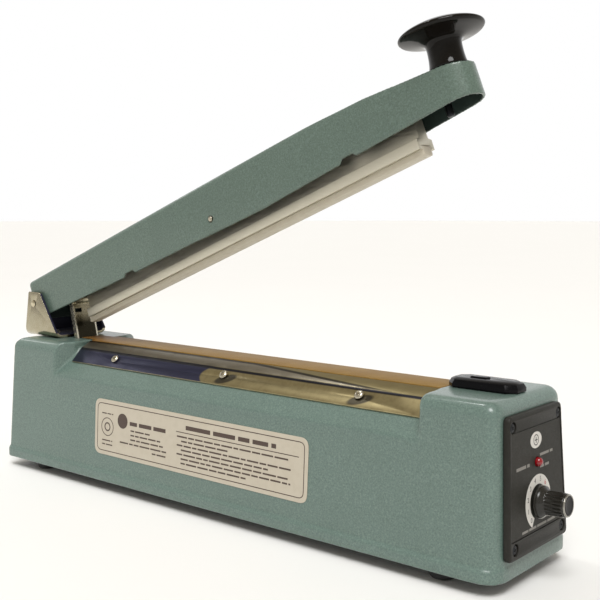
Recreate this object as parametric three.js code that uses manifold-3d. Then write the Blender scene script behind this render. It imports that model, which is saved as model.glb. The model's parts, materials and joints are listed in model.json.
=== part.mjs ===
// Hand-operated impulse heat sealer, bench type, shown with its arm sprung open.
// Units are millimetres. X runs from the hinge end to the control panel, Z is up, and Y = 0 is the
// plane that the sealing strip lies in. Inside the groups below, X is counted from the rear edge of
// the base flange and Z from the underside of the flange; the last lines move the origin to the
// middle of the footprint, on the plane of the foot soles.
import * as THREE from 'three';
import { mergeVertices } from 'three/addons/utils/BufferGeometryUtils.js';
import Module from 'manifold-3d';

const wasm = await Module();
wasm.setup();

// ---------------------------------------------------------------- driving dimensions
const GAP = 0.3;
const BASE_LENGTH = 425;
const FLANGE_HALF_WIDTH = 44.4;
const FLANGE_HEIGHT = 7;
const FLANGE_PROUD = 1.7;
const BASE_TOP = 92.15;
const FRONT_RISE = 1.15;
const SIDE_DRAFT = 0.05;
const CASTING_WALL = 2.4;
const FRONT_CORNER_RADIUS = 15;
const REAR_CORNER_RADIUS = 5;
const TOP_EDGE_RADIUS = 7;
const END_SETBACK = 1.5;
const FOOT_HEIGHT = 7;
const FOOT_RADIUS = 8.5;
const FOOT_X = [31, 385];
const FOOT_Y = 28.5;

const REAR_BLOCK_X = 63;
const FRONT_BLOCK_X = 372.7;
const DECK_TOP = 87;
const DECK_HALF_WIDTH = 21;
const WELL_X = [64.5, 75];
const WELL_HALF_WIDTH = 8;

const STRIP_X = [76, 360];
const STRIP_HALF_WIDTH = 11.8;
const STRIP_TOP = 91.9;
const ELEMENT_X = [72.6, 363.4];
const ELEMENT_HALF_WIDTH = 1.5;
const COVER_TOP = 92.95;
const PLATE_X = [66, 371.9];
const PLATE_THICKNESS = 0.8;
const PLATE_LOWER_Y = 30.2;
const CLAMP_SCREWS = [[109.6, 7.5], [216.8, 8.2], [325.2, 8.4]];

const PIVOT = { x: 10.5, z: 117.5 };
const OPEN_ANGLE = THREE.MathUtils.degToRad(21.4);
const PIN_RADIUS = 2;
const BRACKET_HALF_WIDTH = 24;
const BRACKET_SHEET = 2;
const BRACKET_FRONT = 38;
const BRACKET_BEND = 6.2;
const BRACKET_BACK_TOP = 107;
const BRACKET_TOP = 126.5;
const BRACKET_SCREW_X = 24;
const BRACKET_SCREW_Y = 14;

const ARM_WALL = 1.8;
const ARM_REAR = -5.6;
const ARM_FRONT_CENTRE = 388;
const ARM_HALF_WIDTH_REAR = 20.5;
const ARM_NOSE_RADIUS = 13;
const ARM_LOWER = -16.4;
const ARM_UPPER = 18.6;
// Side outlines of the arm's top, from where it leaves the straight, and of its bowed lower edge: [s, t].
const ARM_TOP_LINE = [[180, 18.6], [290, 17.4], [335, 15.2], [410, 7.4]];
const ARM_LOWER_LINE = [
  [-10, -12], [20, -12.2], [70, -13.6], [115, -14.5], [175, -15], [215, -16], [245, -16.2],
  [285, -14.7], [320, -13.3], [410, -10.6],
];
const ARM_EDGE_RADIUS = 3.2;

const BAR_S = [41, 358.2];
const BAR_SHOE = { top: -18.9, bottom: -25.1, halfWidth: 8 };
const BAR_WEB = { top: 3.6, halfWidth: 4.6 };
const BAR_FLOAT = 4.45;
const SILICONE = { seat: -22.5, bottom: -28.7, halfWidth: 4.5, rear: 37.4 };
const BAR_PIN = { s: 198, t: -5.7, radius: 1.7 };
const NOTCH_S = [109, 314];

const LINK_PIN = { s: 29.4, t: -7.2, radius: 1.5 };
const LINK_HALF_WIDTH = 9.8;
const LINK_WEB = [[40.4, 124], [40.4, 117.5], [46.2, 93], [48.4, 84], [48.4, 58]];
const LINK_SHEET = 1.5;
const SPRING_X = 39.2;
const SPRING_SEAT_TOP = 20;

const BEZEL_X = [372.5, 414.9];
const BEZEL_HALF_WIDTH = 10;
const BEZEL_TOP = 98.7;
const BEZEL_CENTRE = (BEZEL_X[0] + BEZEL_X[1]) / 2;
const SWITCH_X = 389.5;
const PLUNGER_TOP = 99.5;

const KNOB_S = 386.6;
const STRIKER_S = SWITCH_X - PIVOT.x;
const STRIKER_END = -14.8;

const PANEL_Y = -1.6;
const PANEL_CENTRE_Z = 48.3;
const PANEL_HALF_HEIGHT = 37.4;
const PANEL_HALF_WIDTH = [33.6, 29.8];
const PANEL_THICKNESS = 3.6;
const PANEL_SCREW_W = [-31.6, 31.6];
const PANEL_SCREW_Y = (w) => (w < 0 ? 27 : 26);
const LAMP_W = 9.3;
const DIAL_W = -12.1;
const LABEL_X = [105, 300];
const LABEL_Z = [19, 58];

const SIDES = [['near', -1], ['far', 1]];

// ---------------------------------------------------------------- finishes
const finish = (color, roughness, metalness = 0) =>
  new THREE.MeshStandardMaterial({ color, roughness, metalness });
const teal = finish(0x80a098, 0.45, 0.1);
const armTeal = finish(0x70968c, 0.5, 0.1);
const chrome = finish(0xc8c4b4, 0.12, 1);
const steel = finish(0x9a9a96, 0.35, 1);
const blackSteel = finish(0x2a2c2e, 0.4, 0.6);
const brass = finish(0xb8923c, 0.3, 1);
const blackPlastic = finish(0x16161a, 0.2);
const greyPlastic = finish(0x3c3c3a, 0.6);
const redLens = finish(0xa01018, 0.15);
const rubber = finish(0x1a1a1c, 0.8);
const tape = finish(0xb8895a, 0.5);
const silicone = finish(0xd8d0bc, 0.6);
const aluminium = finish(0xbab4a4, 0.35, 0.8);
const board = finish(0x2c6a40, 0.5);
const cream = finish(0xe4dcc8, 0.5);
const laminate = finish(0x6e4a2c, 0.6);
const lamination = finish(0x5a5c60, 0.5, 0.8);
const copper = finish(0xa05a2c, 0.4, 0.8);
const wireRed = finish(0x9a2a20, 0.5);

// ---------------------------------------------------------------- solids
function toSolid(geometry) {
  const bare = geometry.clone();
  bare.deleteAttribute('normal');
  bare.deleteAttribute('uv');
  const merged = mergeVertices(bare, 1e-4);
  const vertProperties = new Float32Array(merged.attributes.position.array);
  const triVerts = new Uint32Array(merged.index.array);
  return new wasm.Manifold(new wasm.Mesh({ numProp: 3, vertProperties, triVerts }));
}

function toGeometry(solid) {
  const mesh = solid.getMesh();
  const geometry = new THREE.BufferGeometry();
  geometry.setAttribute('position', new THREE.BufferAttribute(mesh.vertProperties, 3));
  geometry.setIndex(new THREE.BufferAttribute(mesh.triVerts, 1));
  geometry.computeVertexNormals();
  return geometry;
}

function combine(operation, first, others) {
  let solid = toSolid(first);
  for (const other of others) {
    solid = solid[operation](toSolid(other));
  }
  return toGeometry(solid);
}

const cut = (first, ...others) => combine('subtract', first, others);
const join = (first, ...others) => combine('add', first, others);
const common = (first, ...others) => combine('intersect', first, others);

// ---------------------------------------------------------------- basic forms
function block(x0, x1, y0, y1, z0, z1) {
  const geometry = new THREE.BoxGeometry(x1 - x0, y1 - y0, z1 - z0);
  return geometry.translate((x0 + x1) / 2, (y0 + y1) / 2, (z0 + z1) / 2);
}

// A round bar from one point to another; its end radii may differ.
function rod(from, to, radius, sides = 20, endRadius = radius) {
  const start = new THREE.Vector3(...from);
  const span = new THREE.Vector3(...to).sub(start);
  const geometry = new THREE.CylinderGeometry(endRadius, radius, span.length(), sides);
  geometry.translate(0, span.length() / 2, 0);
  const turn = new THREE.Quaternion().setFromUnitVectors(
    new THREE.Vector3(0, 1, 0), span.clone().normalize());
  return geometry.applyQuaternion(turn).translate(...from);
}

const extrude = (points, depth) => new THREE.ExtrudeGeometry(
  new THREE.Shape(points.map(([u, v]) => new THREE.Vector2(u, v))), { depth, bevelEnabled: false });

// Prisms with their outline in the YZ, XZ or XY plane.
function prismX(points, x0, x1) {
  const turn = new THREE.Matrix4().makeBasis(
    new THREE.Vector3(0, 1, 0), new THREE.Vector3(0, 0, 1), new THREE.Vector3(1, 0, 0));
  return extrude(points, x1 - x0).applyMatrix4(turn).translate(x0, 0, 0);
}

function prismY(points, y0, y1) {
  const turn = new THREE.Matrix4().makeBasis(
    new THREE.Vector3(1, 0, 0), new THREE.Vector3(0, 0, 1), new THREE.Vector3(0, -1, 0));
  return extrude(points, y1 - y0).applyMatrix4(turn).translate(0, y1, 0);
}

const prismZ = (points, z0, z1) => extrude(points, z1 - z0).translate(0, 0, z0);

// A polygon whose corners are rounded; each corner may give its own radius as a third value.
function rounded(points, radius, steps = 4) {
  const outline = [];
  points.forEach(([x, y, own], i) => {
    const corner = new THREE.Vector2(x, y);
    const before = new THREE.Vector2(...points.at(i - 1).slice(0, 2)).sub(corner).normalize();
    const after = new THREE.Vector2(...points[(i + 1) % points.length].slice(0, 2)).sub(corner).normalize();
    const halfAngle = Math.acos(before.dot(after)) / 2;
    const reach = (own ?? radius) / Math.tan(halfAngle);
    const curve = new THREE.QuadraticBezierCurve(
      corner.clone().addScaledVector(before, reach), corner, corner.clone().addScaledVector(after, reach));
    for (const point of curve.getPoints(steps)) {
      outline.push([point.x, point.y]);
    }
  });
  return outline;
}

// A closed skin through level rings of equal point count, lowest first, counter-clockwise from above.
function loft(rings) {
  const count = rings[0].length;
  const last = (rings.length - 1) * count;
  const index = [];
  for (let level = 0; level < rings.length - 1; level += 1) {
    for (let i = 0; i < count; i += 1) {
      const a = level * count + i;
      const b = level * count + (i + 1) % count;
      index.push(a, b, b + count, a, b + count, a + count);
    }
  }
  for (let i = 1; i < count - 1; i += 1) {
    index.push(0, i + 1, i, last, last + i, last + i + 1);
  }
  const geometry = new THREE.BufferGeometry();
  geometry.setAttribute('position', new THREE.Float32BufferAttribute(rings.flat(2), 3));
  geometry.setIndex(index);
  return geometry;
}

// A coil spring standing on Z, drawn as one round wire swept along a helix.
function coilSpring(x, z0, z1, coilRadius, wireRadius, turns) {
  class Helix extends THREE.Curve {
    getPoint(t, target = new THREE.Vector3()) {
      const angle = t * turns * 2 * Math.PI;
      const height = z0 + wireRadius + (z1 - z0 - 2 * wireRadius) * t;
      return target.set(x + coilRadius * Math.cos(angle), coilRadius * Math.sin(angle), height);
    }
  }
  return sweep(new Helix(), wireRadius, turns * 8, 5);
}

function sweep(path, radius, steps, sides = 6) {
  const section = [];
  for (let i = 0; i < sides; i += 1) {
    const angle = i * 2 * Math.PI / sides;
    section.push(new THREE.Vector2(radius * Math.cos(angle), radius * Math.sin(angle)));
  }
  const options = { steps, extrudePath: path, bevelEnabled: false };
  return new THREE.ExtrudeGeometry(new THREE.Shape(section), options);
}

// A round-headed machine screw along +Z, its head's seat at z = 0, with a cross recess.
function panScrew(headRadius, headHeight, shankRadius, shankLength, crossed = true) {
  const profile = [
    [0, -shankLength], [shankRadius, -shankLength], [shankRadius, 0], [headRadius, 0],
    [headRadius, headHeight * 0.45], [headRadius * 0.72, headHeight * 0.88], [0, headHeight],
  ];
  const body = new THREE.LatheGeometry(profile.map(([r, z]) => new THREE.Vector2(r, z)), 10);
  body.rotateX(Math.PI / 2);
  if (!crossed) {
    return body;
  }
  const slotHalf = headRadius * 0.6;
  const slotWidth = headRadius * 0.13;
  const depth = headHeight * 0.45;
  return cut(body,
    block(-slotHalf, slotHalf, -slotWidth, slotWidth, depth, headHeight + 1),
    block(-slotWidth, slotWidth, -slotHalf, slotHalf, depth, headHeight + 1));
}

function add(parent, name, geometry, material) {
  const mesh = new THREE.Mesh(geometry, material);
  mesh.name = name;
  parent.add(mesh);
  return mesh;
}

// ---------------------------------------------------------------- base casting
// Inset of the drafted wall from the flange outline at height z.
const wallInset = (z) => FLANGE_PROUD + SIDE_DRAFT * z;
const wallHalfWidth = (z) => FLANGE_HALF_WIDTH - wallInset(z);
const frontFaceX = (z) => BASE_LENGTH - wallInset(z) + END_SETBACK;

function baseRing(inset, z) {
  const endInset = Math.max(inset - END_SETBACK, 0);
  const front = BASE_LENGTH - endInset;
  const side = FLANGE_HALF_WIDTH - inset;
  const frontRadius = Math.max(FRONT_CORNER_RADIUS - inset, 1.5);
  const rearRadius = Math.max(REAR_CORNER_RADIUS - inset, 1.5);
  const corners = [
    [front, -side, frontRadius], [front, side, frontRadius],
    [endInset, side, rearRadius], [endInset, -side, rearRadius],
  ];
  return rounded(corners, 0, 5).map(([x, y]) => [x, y, z]);
}

function baseOuterForm() {
  const rings = [
    baseRing(0.5, 0), baseRing(0, 0.6), baseRing(0, FLANGE_HEIGHT - 1), baseRing(0.5, FLANGE_HEIGHT),
    baseRing(wallInset(FLANGE_HEIGHT), FLANGE_HEIGHT + 0.4),
  ];
  const steps = 5;
  for (let i = 0; i <= steps; i += 1) {
    const angle = i / steps * Math.PI / 2;
    const z = BASE_TOP - TOP_EDGE_RADIUS + TOP_EDGE_RADIUS * Math.sin(angle);
    const ring = baseRing(wallInset(z) + TOP_EDGE_RADIUS * (1 - Math.cos(angle)), z);
    rings.push(ring.map(([x, y]) => [x, y, z + FRONT_RISE * x / BASE_LENGTH]));
  }
  return loft(rings);
}

// Height of the end blocks, which rise a little towards the front.
const blockTopAt = (x) => BASE_TOP + FRONT_RISE * x / BASE_LENGTH;

// The space over the deck: a prism above the deck's chamfered section, between the end blocks.
function spaceOverDeck(wall) {
  const rise = wall * Math.SQRT2 - wall;
  const top = DECK_TOP - wall;
  const shoulder = DECK_HALF_WIDTH - rise;
  const reach = 60;
  const above = prismX(
    [[-shoulder, top], [shoulder, top], [reach, top - (reach - shoulder)], [reach, 110], [-reach, 110],
      [-reach, top - (reach - shoulder)]],
    0, BASE_LENGTH);
  const rear = REAR_BLOCK_X - wall;
  const front = FRONT_BLOCK_X + wall;
  const plan = prismZ(
    [[rear, -25], [rear - 9, -42], [rear - 9, -60], [front + 1.5, -60], [front + 1.5, -42], [front, -25],
      [front, 25], [front + 1.5, 42], [front + 1.5, 60], [rear - 9, 60], [rear - 9, 42], [rear, 25]],
    0, 120);
  return common(above, plan);
}

function screwBosses() {
  const bosses = [];
  for (const x of FOOT_X) {
    for (const [, side] of SIDES) {
      const y = side * FOOT_Y;
      const wallY = side * (wallHalfWidth(10) - CASTING_WALL / 2);
      const pillar = rod([x, y, 2.1], [x, y, 22], 5, 16);
      const web = block(x - 2, x + 2, Math.min(y, wallY), Math.max(y, wallY), 2.1, 22);
      bosses.push(cut(join(pillar, web), rod([x, y, 0], [x, y, 18], 1.9, 12)));
    }
  }
  return bosses;
}

// Places a geometry made about Z at a point on the deck's side chamfer, its Z along the outward normal.
function onChamfer(geometry, side, x, slant, lift) {
  const y = PLATE_LOWER_Y - slant * Math.SQRT1_2;
  const z = DECK_TOP + DECK_HALF_WIDTH - y;
  const out = lift * Math.SQRT1_2;
  return geometry.rotateX(-side * Math.PI / 4).translate(x, side * (y + out), z + out);
}

function baseHousing() {
  const inner = [];
  for (const z of [-1, 10, 60, BASE_TOP - CASTING_WALL]) {
    inner.push(baseRing(wallInset(z) + CASTING_WALL, z));
  }
  const cavity = cut(loft(inner), spaceOverDeck(CASTING_WALL));
  const faceX = frontFaceX(PANEL_CENTRE_Z);
  const tools = [
    spaceOverDeck(0), cavity,
    block(WELL_X[0], WELL_X[1], -WELL_HALF_WIDTH, WELL_HALF_WIDTH, 70, 95),
    block(360.6, 371, -WELL_HALF_WIDTH, WELL_HALF_WIDTH, 80, 90),
    block(38.7, 48.4, -LINK_HALF_WIDTH - 1, LINK_HALF_WIDTH + 1, 80, 100),
    block(BEZEL_CENTRE - 14.6, BEZEL_CENTRE + 14.6, -6, 6, 80, 100),
    block(faceX - 10, BASE_LENGTH + 5, PANEL_Y - 22, PANEL_Y + 22, 24, 74),
    rod([-5, 20, 30], [10, 20, 30], 6.4, 20),
  ];
  for (const [, side] of SIDES) {
    const y = side * BRACKET_SCREW_Y;
    tools.push(rod([BRACKET_SCREW_X, y, 80], [BRACKET_SCREW_X, y, 99], 1.9, 12));
    for (const [x, slant] of CLAMP_SCREWS) {
      tools.push(onChamfer(rod([0, 0, -12], [0, 0, 6], 1.8, 12), side, x, slant, 0));
    }
    for (const w of PANEL_SCREW_W) {
      const screwY = PANEL_Y + side * PANEL_SCREW_Y(w);
      const z = PANEL_CENTRE_Z + w;
      tools.push(rod([faceX - 12, screwY, z], [BASE_LENGTH + 5, screwY, z], 1.8, 12));
    }
  }
  return join(cut(baseOuterForm(), ...tools), ...screwBosses());
}

function bottomCover() {
  const inset = wallInset(0) + CASTING_WALL + GAP;
  const plate = loft([baseRing(inset, 0.6), baseRing(inset, 1.8)]);
  const holes = [];
  for (const x of FOOT_X) {
    for (const [, side] of SIDES) {
      holes.push(rod([x, side * FOOT_Y, -1], [x, side * FOOT_Y, 3], 2.2, 12));
    }
  }
  const seat = rod([SPRING_X, 0, 1.2], [SPRING_X, 0, SPRING_SEAT_TOP], 7.5, 20);
  return join(cut(plate, ...holes), seat);
}

function foot() {
  const profile = [
    [2.2, 0.3], [FOOT_RADIUS - 0.8, 0.3], [FOOT_RADIUS, -0.5], [FOOT_RADIUS - 0.8, -FOOT_HEIGHT + 1],
    [FOOT_RADIUS - 1.8, -FOOT_HEIGHT], [4.4, -FOOT_HEIGHT], [4.4, -3], [2.2, -3], [2.2, 0.3],
  ];
  return new THREE.LatheGeometry(profile.map(([r, z]) => new THREE.Vector2(r, z)).reverse(), 16)
    .rotateX(Math.PI / 2);
}

// ---------------------------------------------------------------- sealing deck
// One bright side plate: it lies on the chamfer and bends in towards the sealing strip.
function clampPlate(side) {
  const lift = GAP * Math.SQRT1_2;
  const bendY = DECK_HALF_WIDTH;
  const tipY = STRIP_HALF_WIDTH + 1.2;
  const tipZ = COVER_TOP - 0.6;
  const chamferZ = (y) => DECK_TOP + DECK_HALF_WIDTH - y + 2 * lift;
  const out = PLATE_THICKNESS * Math.SQRT1_2;
  const section = [
    [PLATE_LOWER_Y, chamferZ(PLATE_LOWER_Y)],
    [PLATE_LOWER_Y + out, chamferZ(PLATE_LOWER_Y) + out],
    [bendY + 0.5, chamferZ(bendY + 0.5) + 2 * out],
    [tipY, tipZ],
    [tipY, tipZ - PLATE_THICKNESS],
    [bendY + 0.1, chamferZ(bendY + 0.1)],
  ];
  const sheet = prismX(section.map(([y, z]) => [side * y, z]), PLATE_X[0], PLATE_X[1]);
  const holes = CLAMP_SCREWS.map(([x, slant]) =>
    onChamfer(rod([0, 0, -4], [0, 0, 6], 1.9, 12), side, x, slant, 0));
  return cut(sheet, ...holes);
}

function heatingElement() {
  const top = STRIP_TOP + GAP + 0.2;
  const w = ELEMENT_HALF_WIDTH;
  const run = block(ELEMENT_X[0], ELEMENT_X[1], -w, w, STRIP_TOP + GAP, top);
  const legs = ELEMENT_X.map((x, i) => {
    const inward = i === 0 ? 0.3 : -0.3;
    return block(Math.min(x, x + inward), Math.max(x, x + inward), -w, w, 74, top);
  });
  return join(run, ...legs);
}

// The release-coated cloth over the element; its rear tongue lies on the hinge end block.
function sealCover() {
  const under = COVER_TOP - 0.4;
  const edge = STRIP_HALF_WIDTH + 0.7;
  const sheet = prismX(
    [[-edge, COVER_TOP - 1.9], [-edge + 0.4, COVER_TOP - 1.9], [-edge + 0.4, under], [edge - 0.4, under],
      [edge - 0.4, COVER_TOP - 1.9], [edge, COVER_TOP - 1.9], [edge, COVER_TOP], [-edge, COVER_TOP]],
    67, 372.2);
  const tongue = prismY(
    [[67.5, COVER_TOP - 0.35], [67.5, COVER_TOP], [50.5, COVER_TOP], [50.5, COVER_TOP - 0.35]], -9, 9);
  return join(sheet, tongue);
}

function elementClamp(x0, x1) {
  const jaw = block(x0, x1, -6, 6, 73, 83);
  return cut(jaw, rod([(x0 + x1) / 2, 0, 78], [(x0 + x1) / 2, 0, 90], 1.6, 12));
}

// ---------------------------------------------------------------- hinge end
const BRACKET_FLOOR = blockTopAt(BRACKET_FRONT) + GAP;

function hingeBracket() {
  const floor = BRACKET_FLOOR;
  const w = BRACKET_HALF_WIDTH;
  const t = BRACKET_SHEET;
  const above = BRACKET_TOP + 5;
  const inner = BRACKET_BEND - t;
  const outside = [[-w, above, 0.1], [-w, floor, BRACKET_BEND], [w, floor, BRACKET_BEND], [w, above, 0.1]];
  const bend = rounded([
    ...outside, [w - t, above, 0.1],
    [w - t, floor + t, inner], [-w + t, floor + t, inner], [-w + t, above, 0.1],
  ], 0, 5);
  const channel = prismX(bend, 0, BRACKET_FRONT);
  const back = common(prismX(rounded(outside, 0, 5), 0.4, t), block(0, t, -w, w, floor, BRACKET_BACK_TOP));
  const ear = rounded([
    [0, floor - 1, 0.2], [BRACKET_FRONT, floor - 1, 0.2], [BRACKET_FRONT, floor + 4, 1],
    [18.2, BRACKET_TOP, 1.6], [4.6, BRACKET_TOP, 1.6], [0, floor + 6, 1],
  ], 0, 4);
  const tools = [rod([PIVOT.x, -30, PIVOT.z], [PIVOT.x, 30, PIVOT.z], PIN_RADIUS + GAP, 20)];
  for (const [, side] of SIDES) {
    const y = side * BRACKET_SCREW_Y;
    tools.push(rod([BRACKET_SCREW_X, y, 90], [BRACKET_SCREW_X, y, 98], 2.3, 12));
  }
  return cut(common(join(channel, back), prismY(ear, -w - 1, w + 1)), ...tools);
}

function hingePin() {
  const end = BRACKET_HALF_WIDTH + GAP;
  const profile = [
    [0, -end - 0.9], [1.8, -end - 0.7], [2.8, -end], [PIN_RADIUS, -end], [PIN_RADIUS, end],
    [2.8, end], [1.8, end + 0.7], [0, end + 0.9],
  ];
  return new THREE.LatheGeometry(profile.map(([r, y]) => new THREE.Vector2(r, y)), 20)
    .translate(PIVOT.x, 0, PIVOT.z);
}

function pointOnOpenArm(s, t) {
  const cos = Math.cos(OPEN_ANGLE);
  const sin = Math.sin(OPEN_ANGLE);
  return { x: PIVOT.x + s * cos - t * sin, z: PIVOT.z + s * sin + t * cos };
}

// The strap between the arm and the return spring: eye, leaning slotted web with side rims, spring foot.
function springLink() {
  const eye = pointOnOpenArm(LINK_PIN.s, LINK_PIN.t);
  const w = LINK_HALF_WIDTH;
  const behind = (depth) => LINK_WEB.map(([x, z]) => [x - depth, z]).reverse();
  const web = prismY([...LINK_WEB, ...behind(LINK_SHEET)].reverse(), -w, w);
  const rims = SIDES.map(([, side]) => {
    const lean = [...LINK_WEB.slice(1, 4), ...behind(LINK_SHEET + 2.4).slice(1, 4)].reverse();
    return prismY(lean, side < 0 ? -w : w - 1.4, side < 0 ? -w + 1.4 : w);
  });
  const [footX, footZ] = LINK_WEB.at(-1);
  const knuckle = rod([eye.x, -w + 2, eye.z], [eye.x, w - 2, eye.z], 3.8, 20);
  const footPlate = block(SPRING_X - 6, footX, -8.2, 8.2, footZ, footZ + 1.6);
  const bore = rod([eye.x, -w - 1, eye.z], [eye.x, w + 1, eye.z], LINK_PIN.radius + GAP, 16);
  const slot = block(36, 48, -8.2, -1.6, 111.5, 114.5);
  return cut(join(web, knuckle, footPlate, ...rims), bore, slot);
}

// ---------------------------------------------------------------- arm, in its own frame
// s (X) runs along the arm from the pivot, t (Z) is square to it.
const armHalfWidth = (s) =>
  ARM_HALF_WIDTH_REAR - (ARM_HALF_WIDTH_REAR - ARM_NOSE_RADIUS) * s / ARM_FRONT_CENTRE;

function armRing(inset, t) {
  const rear = ARM_REAR + inset;
  const side = armHalfWidth(rear) - inset;
  const radius = ARM_NOSE_RADIUS - inset;
  const cornerRadius = Math.max(3.5 - inset, 1);
  const outline = rounded([[rear, side, cornerRadius], [rear, -side, cornerRadius],
    [ARM_FRONT_CENTRE, -radius, 0.1], [ARM_FRONT_CENTRE, radius, 0.1]], 0, 4).slice(0, 10);
  const steps = 16;
  for (let i = 0; i <= steps; i += 1) {
    const angle = -Math.PI / 2 + i / steps * Math.PI;
    outline.push([ARM_FRONT_CENTRE + radius * Math.cos(angle), radius * Math.sin(angle)]);
  }
  return outline.map(([s, y]) => [s, y, t]);
}

// Everything above the arm's falling top line, lowered by a wall thickness where asked.
function aboveArmTop(lower) {
  const line = ARM_TOP_LINE.map(([s, t]) => [s, t - lower]);
  return prismY([...line, [line.at(-1)[0], 60], [line[0][0], 60]], -40, 40);
}

function belowArmEdge() {
  const line = ARM_LOWER_LINE.toReversed();
  return prismY([[line.at(-1)[0], -40], [line[0][0], -40], ...line], -40, 40);
}

// Height of one of the outlines above at s; before its first point it is level.
function heightOn(outline, s) {
  const next = outline.findIndex(([end]) => end > s);
  if (next <= 0) {
    return outline[0][1];
  }
  const [s0, t0] = outline[next - 1];
  const [s1, t1] = outline[next];
  return t0 + (t1 - t0) * (s - s0) / (s1 - s0);
}

const armTopAt = (s) => heightOn(ARM_TOP_LINE, s);

const [noseStart, noseEnd] = ARM_TOP_LINE.slice(-2);
const KNOB_LEAN = Math.atan2(noseStart[1] - noseEnd[1], noseEnd[0] - noseStart[0]);

function armShell() {
  const rings = [armRing(0.4, ARM_LOWER), armRing(0, ARM_LOWER + 0.4)];
  const steps = 4;
  for (let i = 0; i <= steps; i += 1) {
    const angle = i / steps * Math.PI / 2;
    const t = ARM_UPPER - ARM_EDGE_RADIUS * (1 - Math.sin(angle));
    rings.push(armRing(ARM_EDGE_RADIUS * (1 - Math.cos(angle)), t));
  }
  const outer = cut(loft(rings), aboveArmTop(0), belowArmEdge());
  const hollow = loft([armRing(ARM_WALL, ARM_LOWER - 1), armRing(ARM_WALL, ARM_UPPER - ARM_WALL)]);
  const tools = [
    cut(hollow, aboveArmTop(ARM_WALL)),
    rod([0, -30, 0], [0, 30, 0], PIN_RADIUS + GAP, 20),
    rod([BAR_PIN.s, -30, BAR_PIN.t], [BAR_PIN.s, 30, BAR_PIN.t], BAR_PIN.radius + GAP, 16),
  ];
  for (const s of NOTCH_S) {
    const edge = heightOn(ARM_LOWER_LINE, s);
    tools.push(prismY([
      [s - 7, edge - 3], [s + 7, edge - 3], [s + 4.5, edge + 2.4], [s - 4.5, edge + 2.4],
    ], -30, 30));
  }
  const stud = knobStudAxis();
  tools.push(rod(stud.at(-10), stud.at(10), 3.2, 16));
  return cut(outer, ...tools);
}

function knobStudAxis() {
  const lean = { s: Math.sin(KNOB_LEAN), t: Math.cos(KNOB_LEAN) };
  const t0 = armTopAt(KNOB_S);
  return { at: (h) => [KNOB_S + h * lean.s, 0, t0 + h * lean.t] };
}

function handleKnob() {
  const profile = [
    [3.2, GAP], [10.8, GAP], [11, 1.2], [10.2, 4], [9.9, 12], [10.3, 15.2], [11.5, 16.6], [17, 18.2],
    [23.4, 19.6], [24.7, 20.9], [24.2, 22.2], [19, 24.6], [10, 27], [0, 28],
    [0, 14], [3.2, 14], [3.2, GAP],
  ];
  return new THREE.LatheGeometry(profile.map(([r, z]) => new THREE.Vector2(r, z)), 30).rotateX(Math.PI / 2);
}

function pressBar() {
  const w = BAR_SHOE.halfWidth;
  const grooveWidth = SILICONE.halfWidth + GAP;
  const profile = [
    [w, BAR_SHOE.bottom], [w, BAR_SHOE.top], [BAR_WEB.halfWidth, BAR_SHOE.top + 0.8],
    [BAR_WEB.halfWidth, BAR_WEB.top], [-BAR_WEB.halfWidth, BAR_WEB.top],
    [-BAR_WEB.halfWidth, BAR_SHOE.top + 0.8], [-w, BAR_SHOE.top], [-w, BAR_SHOE.bottom],
    [-grooveWidth, BAR_SHOE.bottom], [-grooveWidth, SILICONE.seat],
    [grooveWidth, SILICONE.seat], [grooveWidth, BAR_SHOE.bottom],
  ];
  const r = BAR_PIN.radius + GAP;
  const low = BAR_PIN.t - BAR_FLOAT;
  return cut(prismX(profile, BAR_S[0], BAR_S[1]),
    block(BAR_PIN.s - r, BAR_PIN.s + r, -10, 10, low, BAR_PIN.t),
    rod([BAR_PIN.s, -10, BAR_PIN.t], [BAR_PIN.s, 10, BAR_PIN.t], r, 16),
    rod([BAR_PIN.s, -10, low], [BAR_PIN.s, 10, low], r, 16));
}

function siliconeStrip() {
  const w = SILICONE.halfWidth;
  const outline = [
    [-w + 0.6, SILICONE.bottom], [w - 0.6, SILICONE.bottom], [w, SILICONE.bottom + 0.6],
    [w, SILICONE.seat - GAP], [-w, SILICONE.seat - GAP], [-w, SILICONE.bottom + 0.6],
  ];
  return prismX(outline, SILICONE.rear, BAR_S[1]);
}

// ---------------------------------------------------------------- front switch
function octagon(halfLength, halfWidth, cornerLength, cornerWidth, x, z) {
  return [
    [x + halfLength, -halfWidth + cornerWidth, z], [x + halfLength, halfWidth - cornerWidth, z],
    [x + halfLength - cornerLength, halfWidth, z], [x - halfLength + cornerLength, halfWidth, z],
    [x - halfLength, halfWidth - cornerWidth, z], [x - halfLength, -halfWidth + cornerWidth, z],
    [x - halfLength + cornerLength, -halfWidth, z], [x + halfLength - cornerLength, -halfWidth, z],
  ];
}

function switchBezel() {
  const half = (BEZEL_X[1] - BEZEL_X[0]) / 2;
  const floor = blockTopAt(BEZEL_X[1]) + GAP;
  const cap = loft([
    octagon(half, BEZEL_HALF_WIDTH, 5, 5, BEZEL_CENTRE, floor),
    octagon(half, BEZEL_HALF_WIDTH, 5, 5, BEZEL_CENTRE, floor + 2),
    octagon(half - 1.2, BEZEL_HALF_WIDTH - 1.2, 4.6, 4.6, BEZEL_CENTRE, floor + 4.2),
    octagon(half - 3, BEZEL_HALF_WIDTH - 3, 4, 4, BEZEL_CENTRE, BEZEL_TOP),
  ]);
  const shank = block(BEZEL_CENTRE - 14.2, BEZEL_CENTRE + 14.2, -5.6, 5.6, 88.4, floor + 1);
  return cut(join(cap, shank), block(SWITCH_X - 5.3, SWITCH_X + 5.3, -2.8, 2.8, 80, 110));
}

function switchPlunger() {
  const stem = block(SWITCH_X - 5, SWITCH_X + 5, -2.5, 2.5, 86, PLUNGER_TOP);
  const flange = block(SWITCH_X - 7, SWITCH_X + 7, -4, 4, 86, 87.4);
  return join(stem, flange);
}

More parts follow.
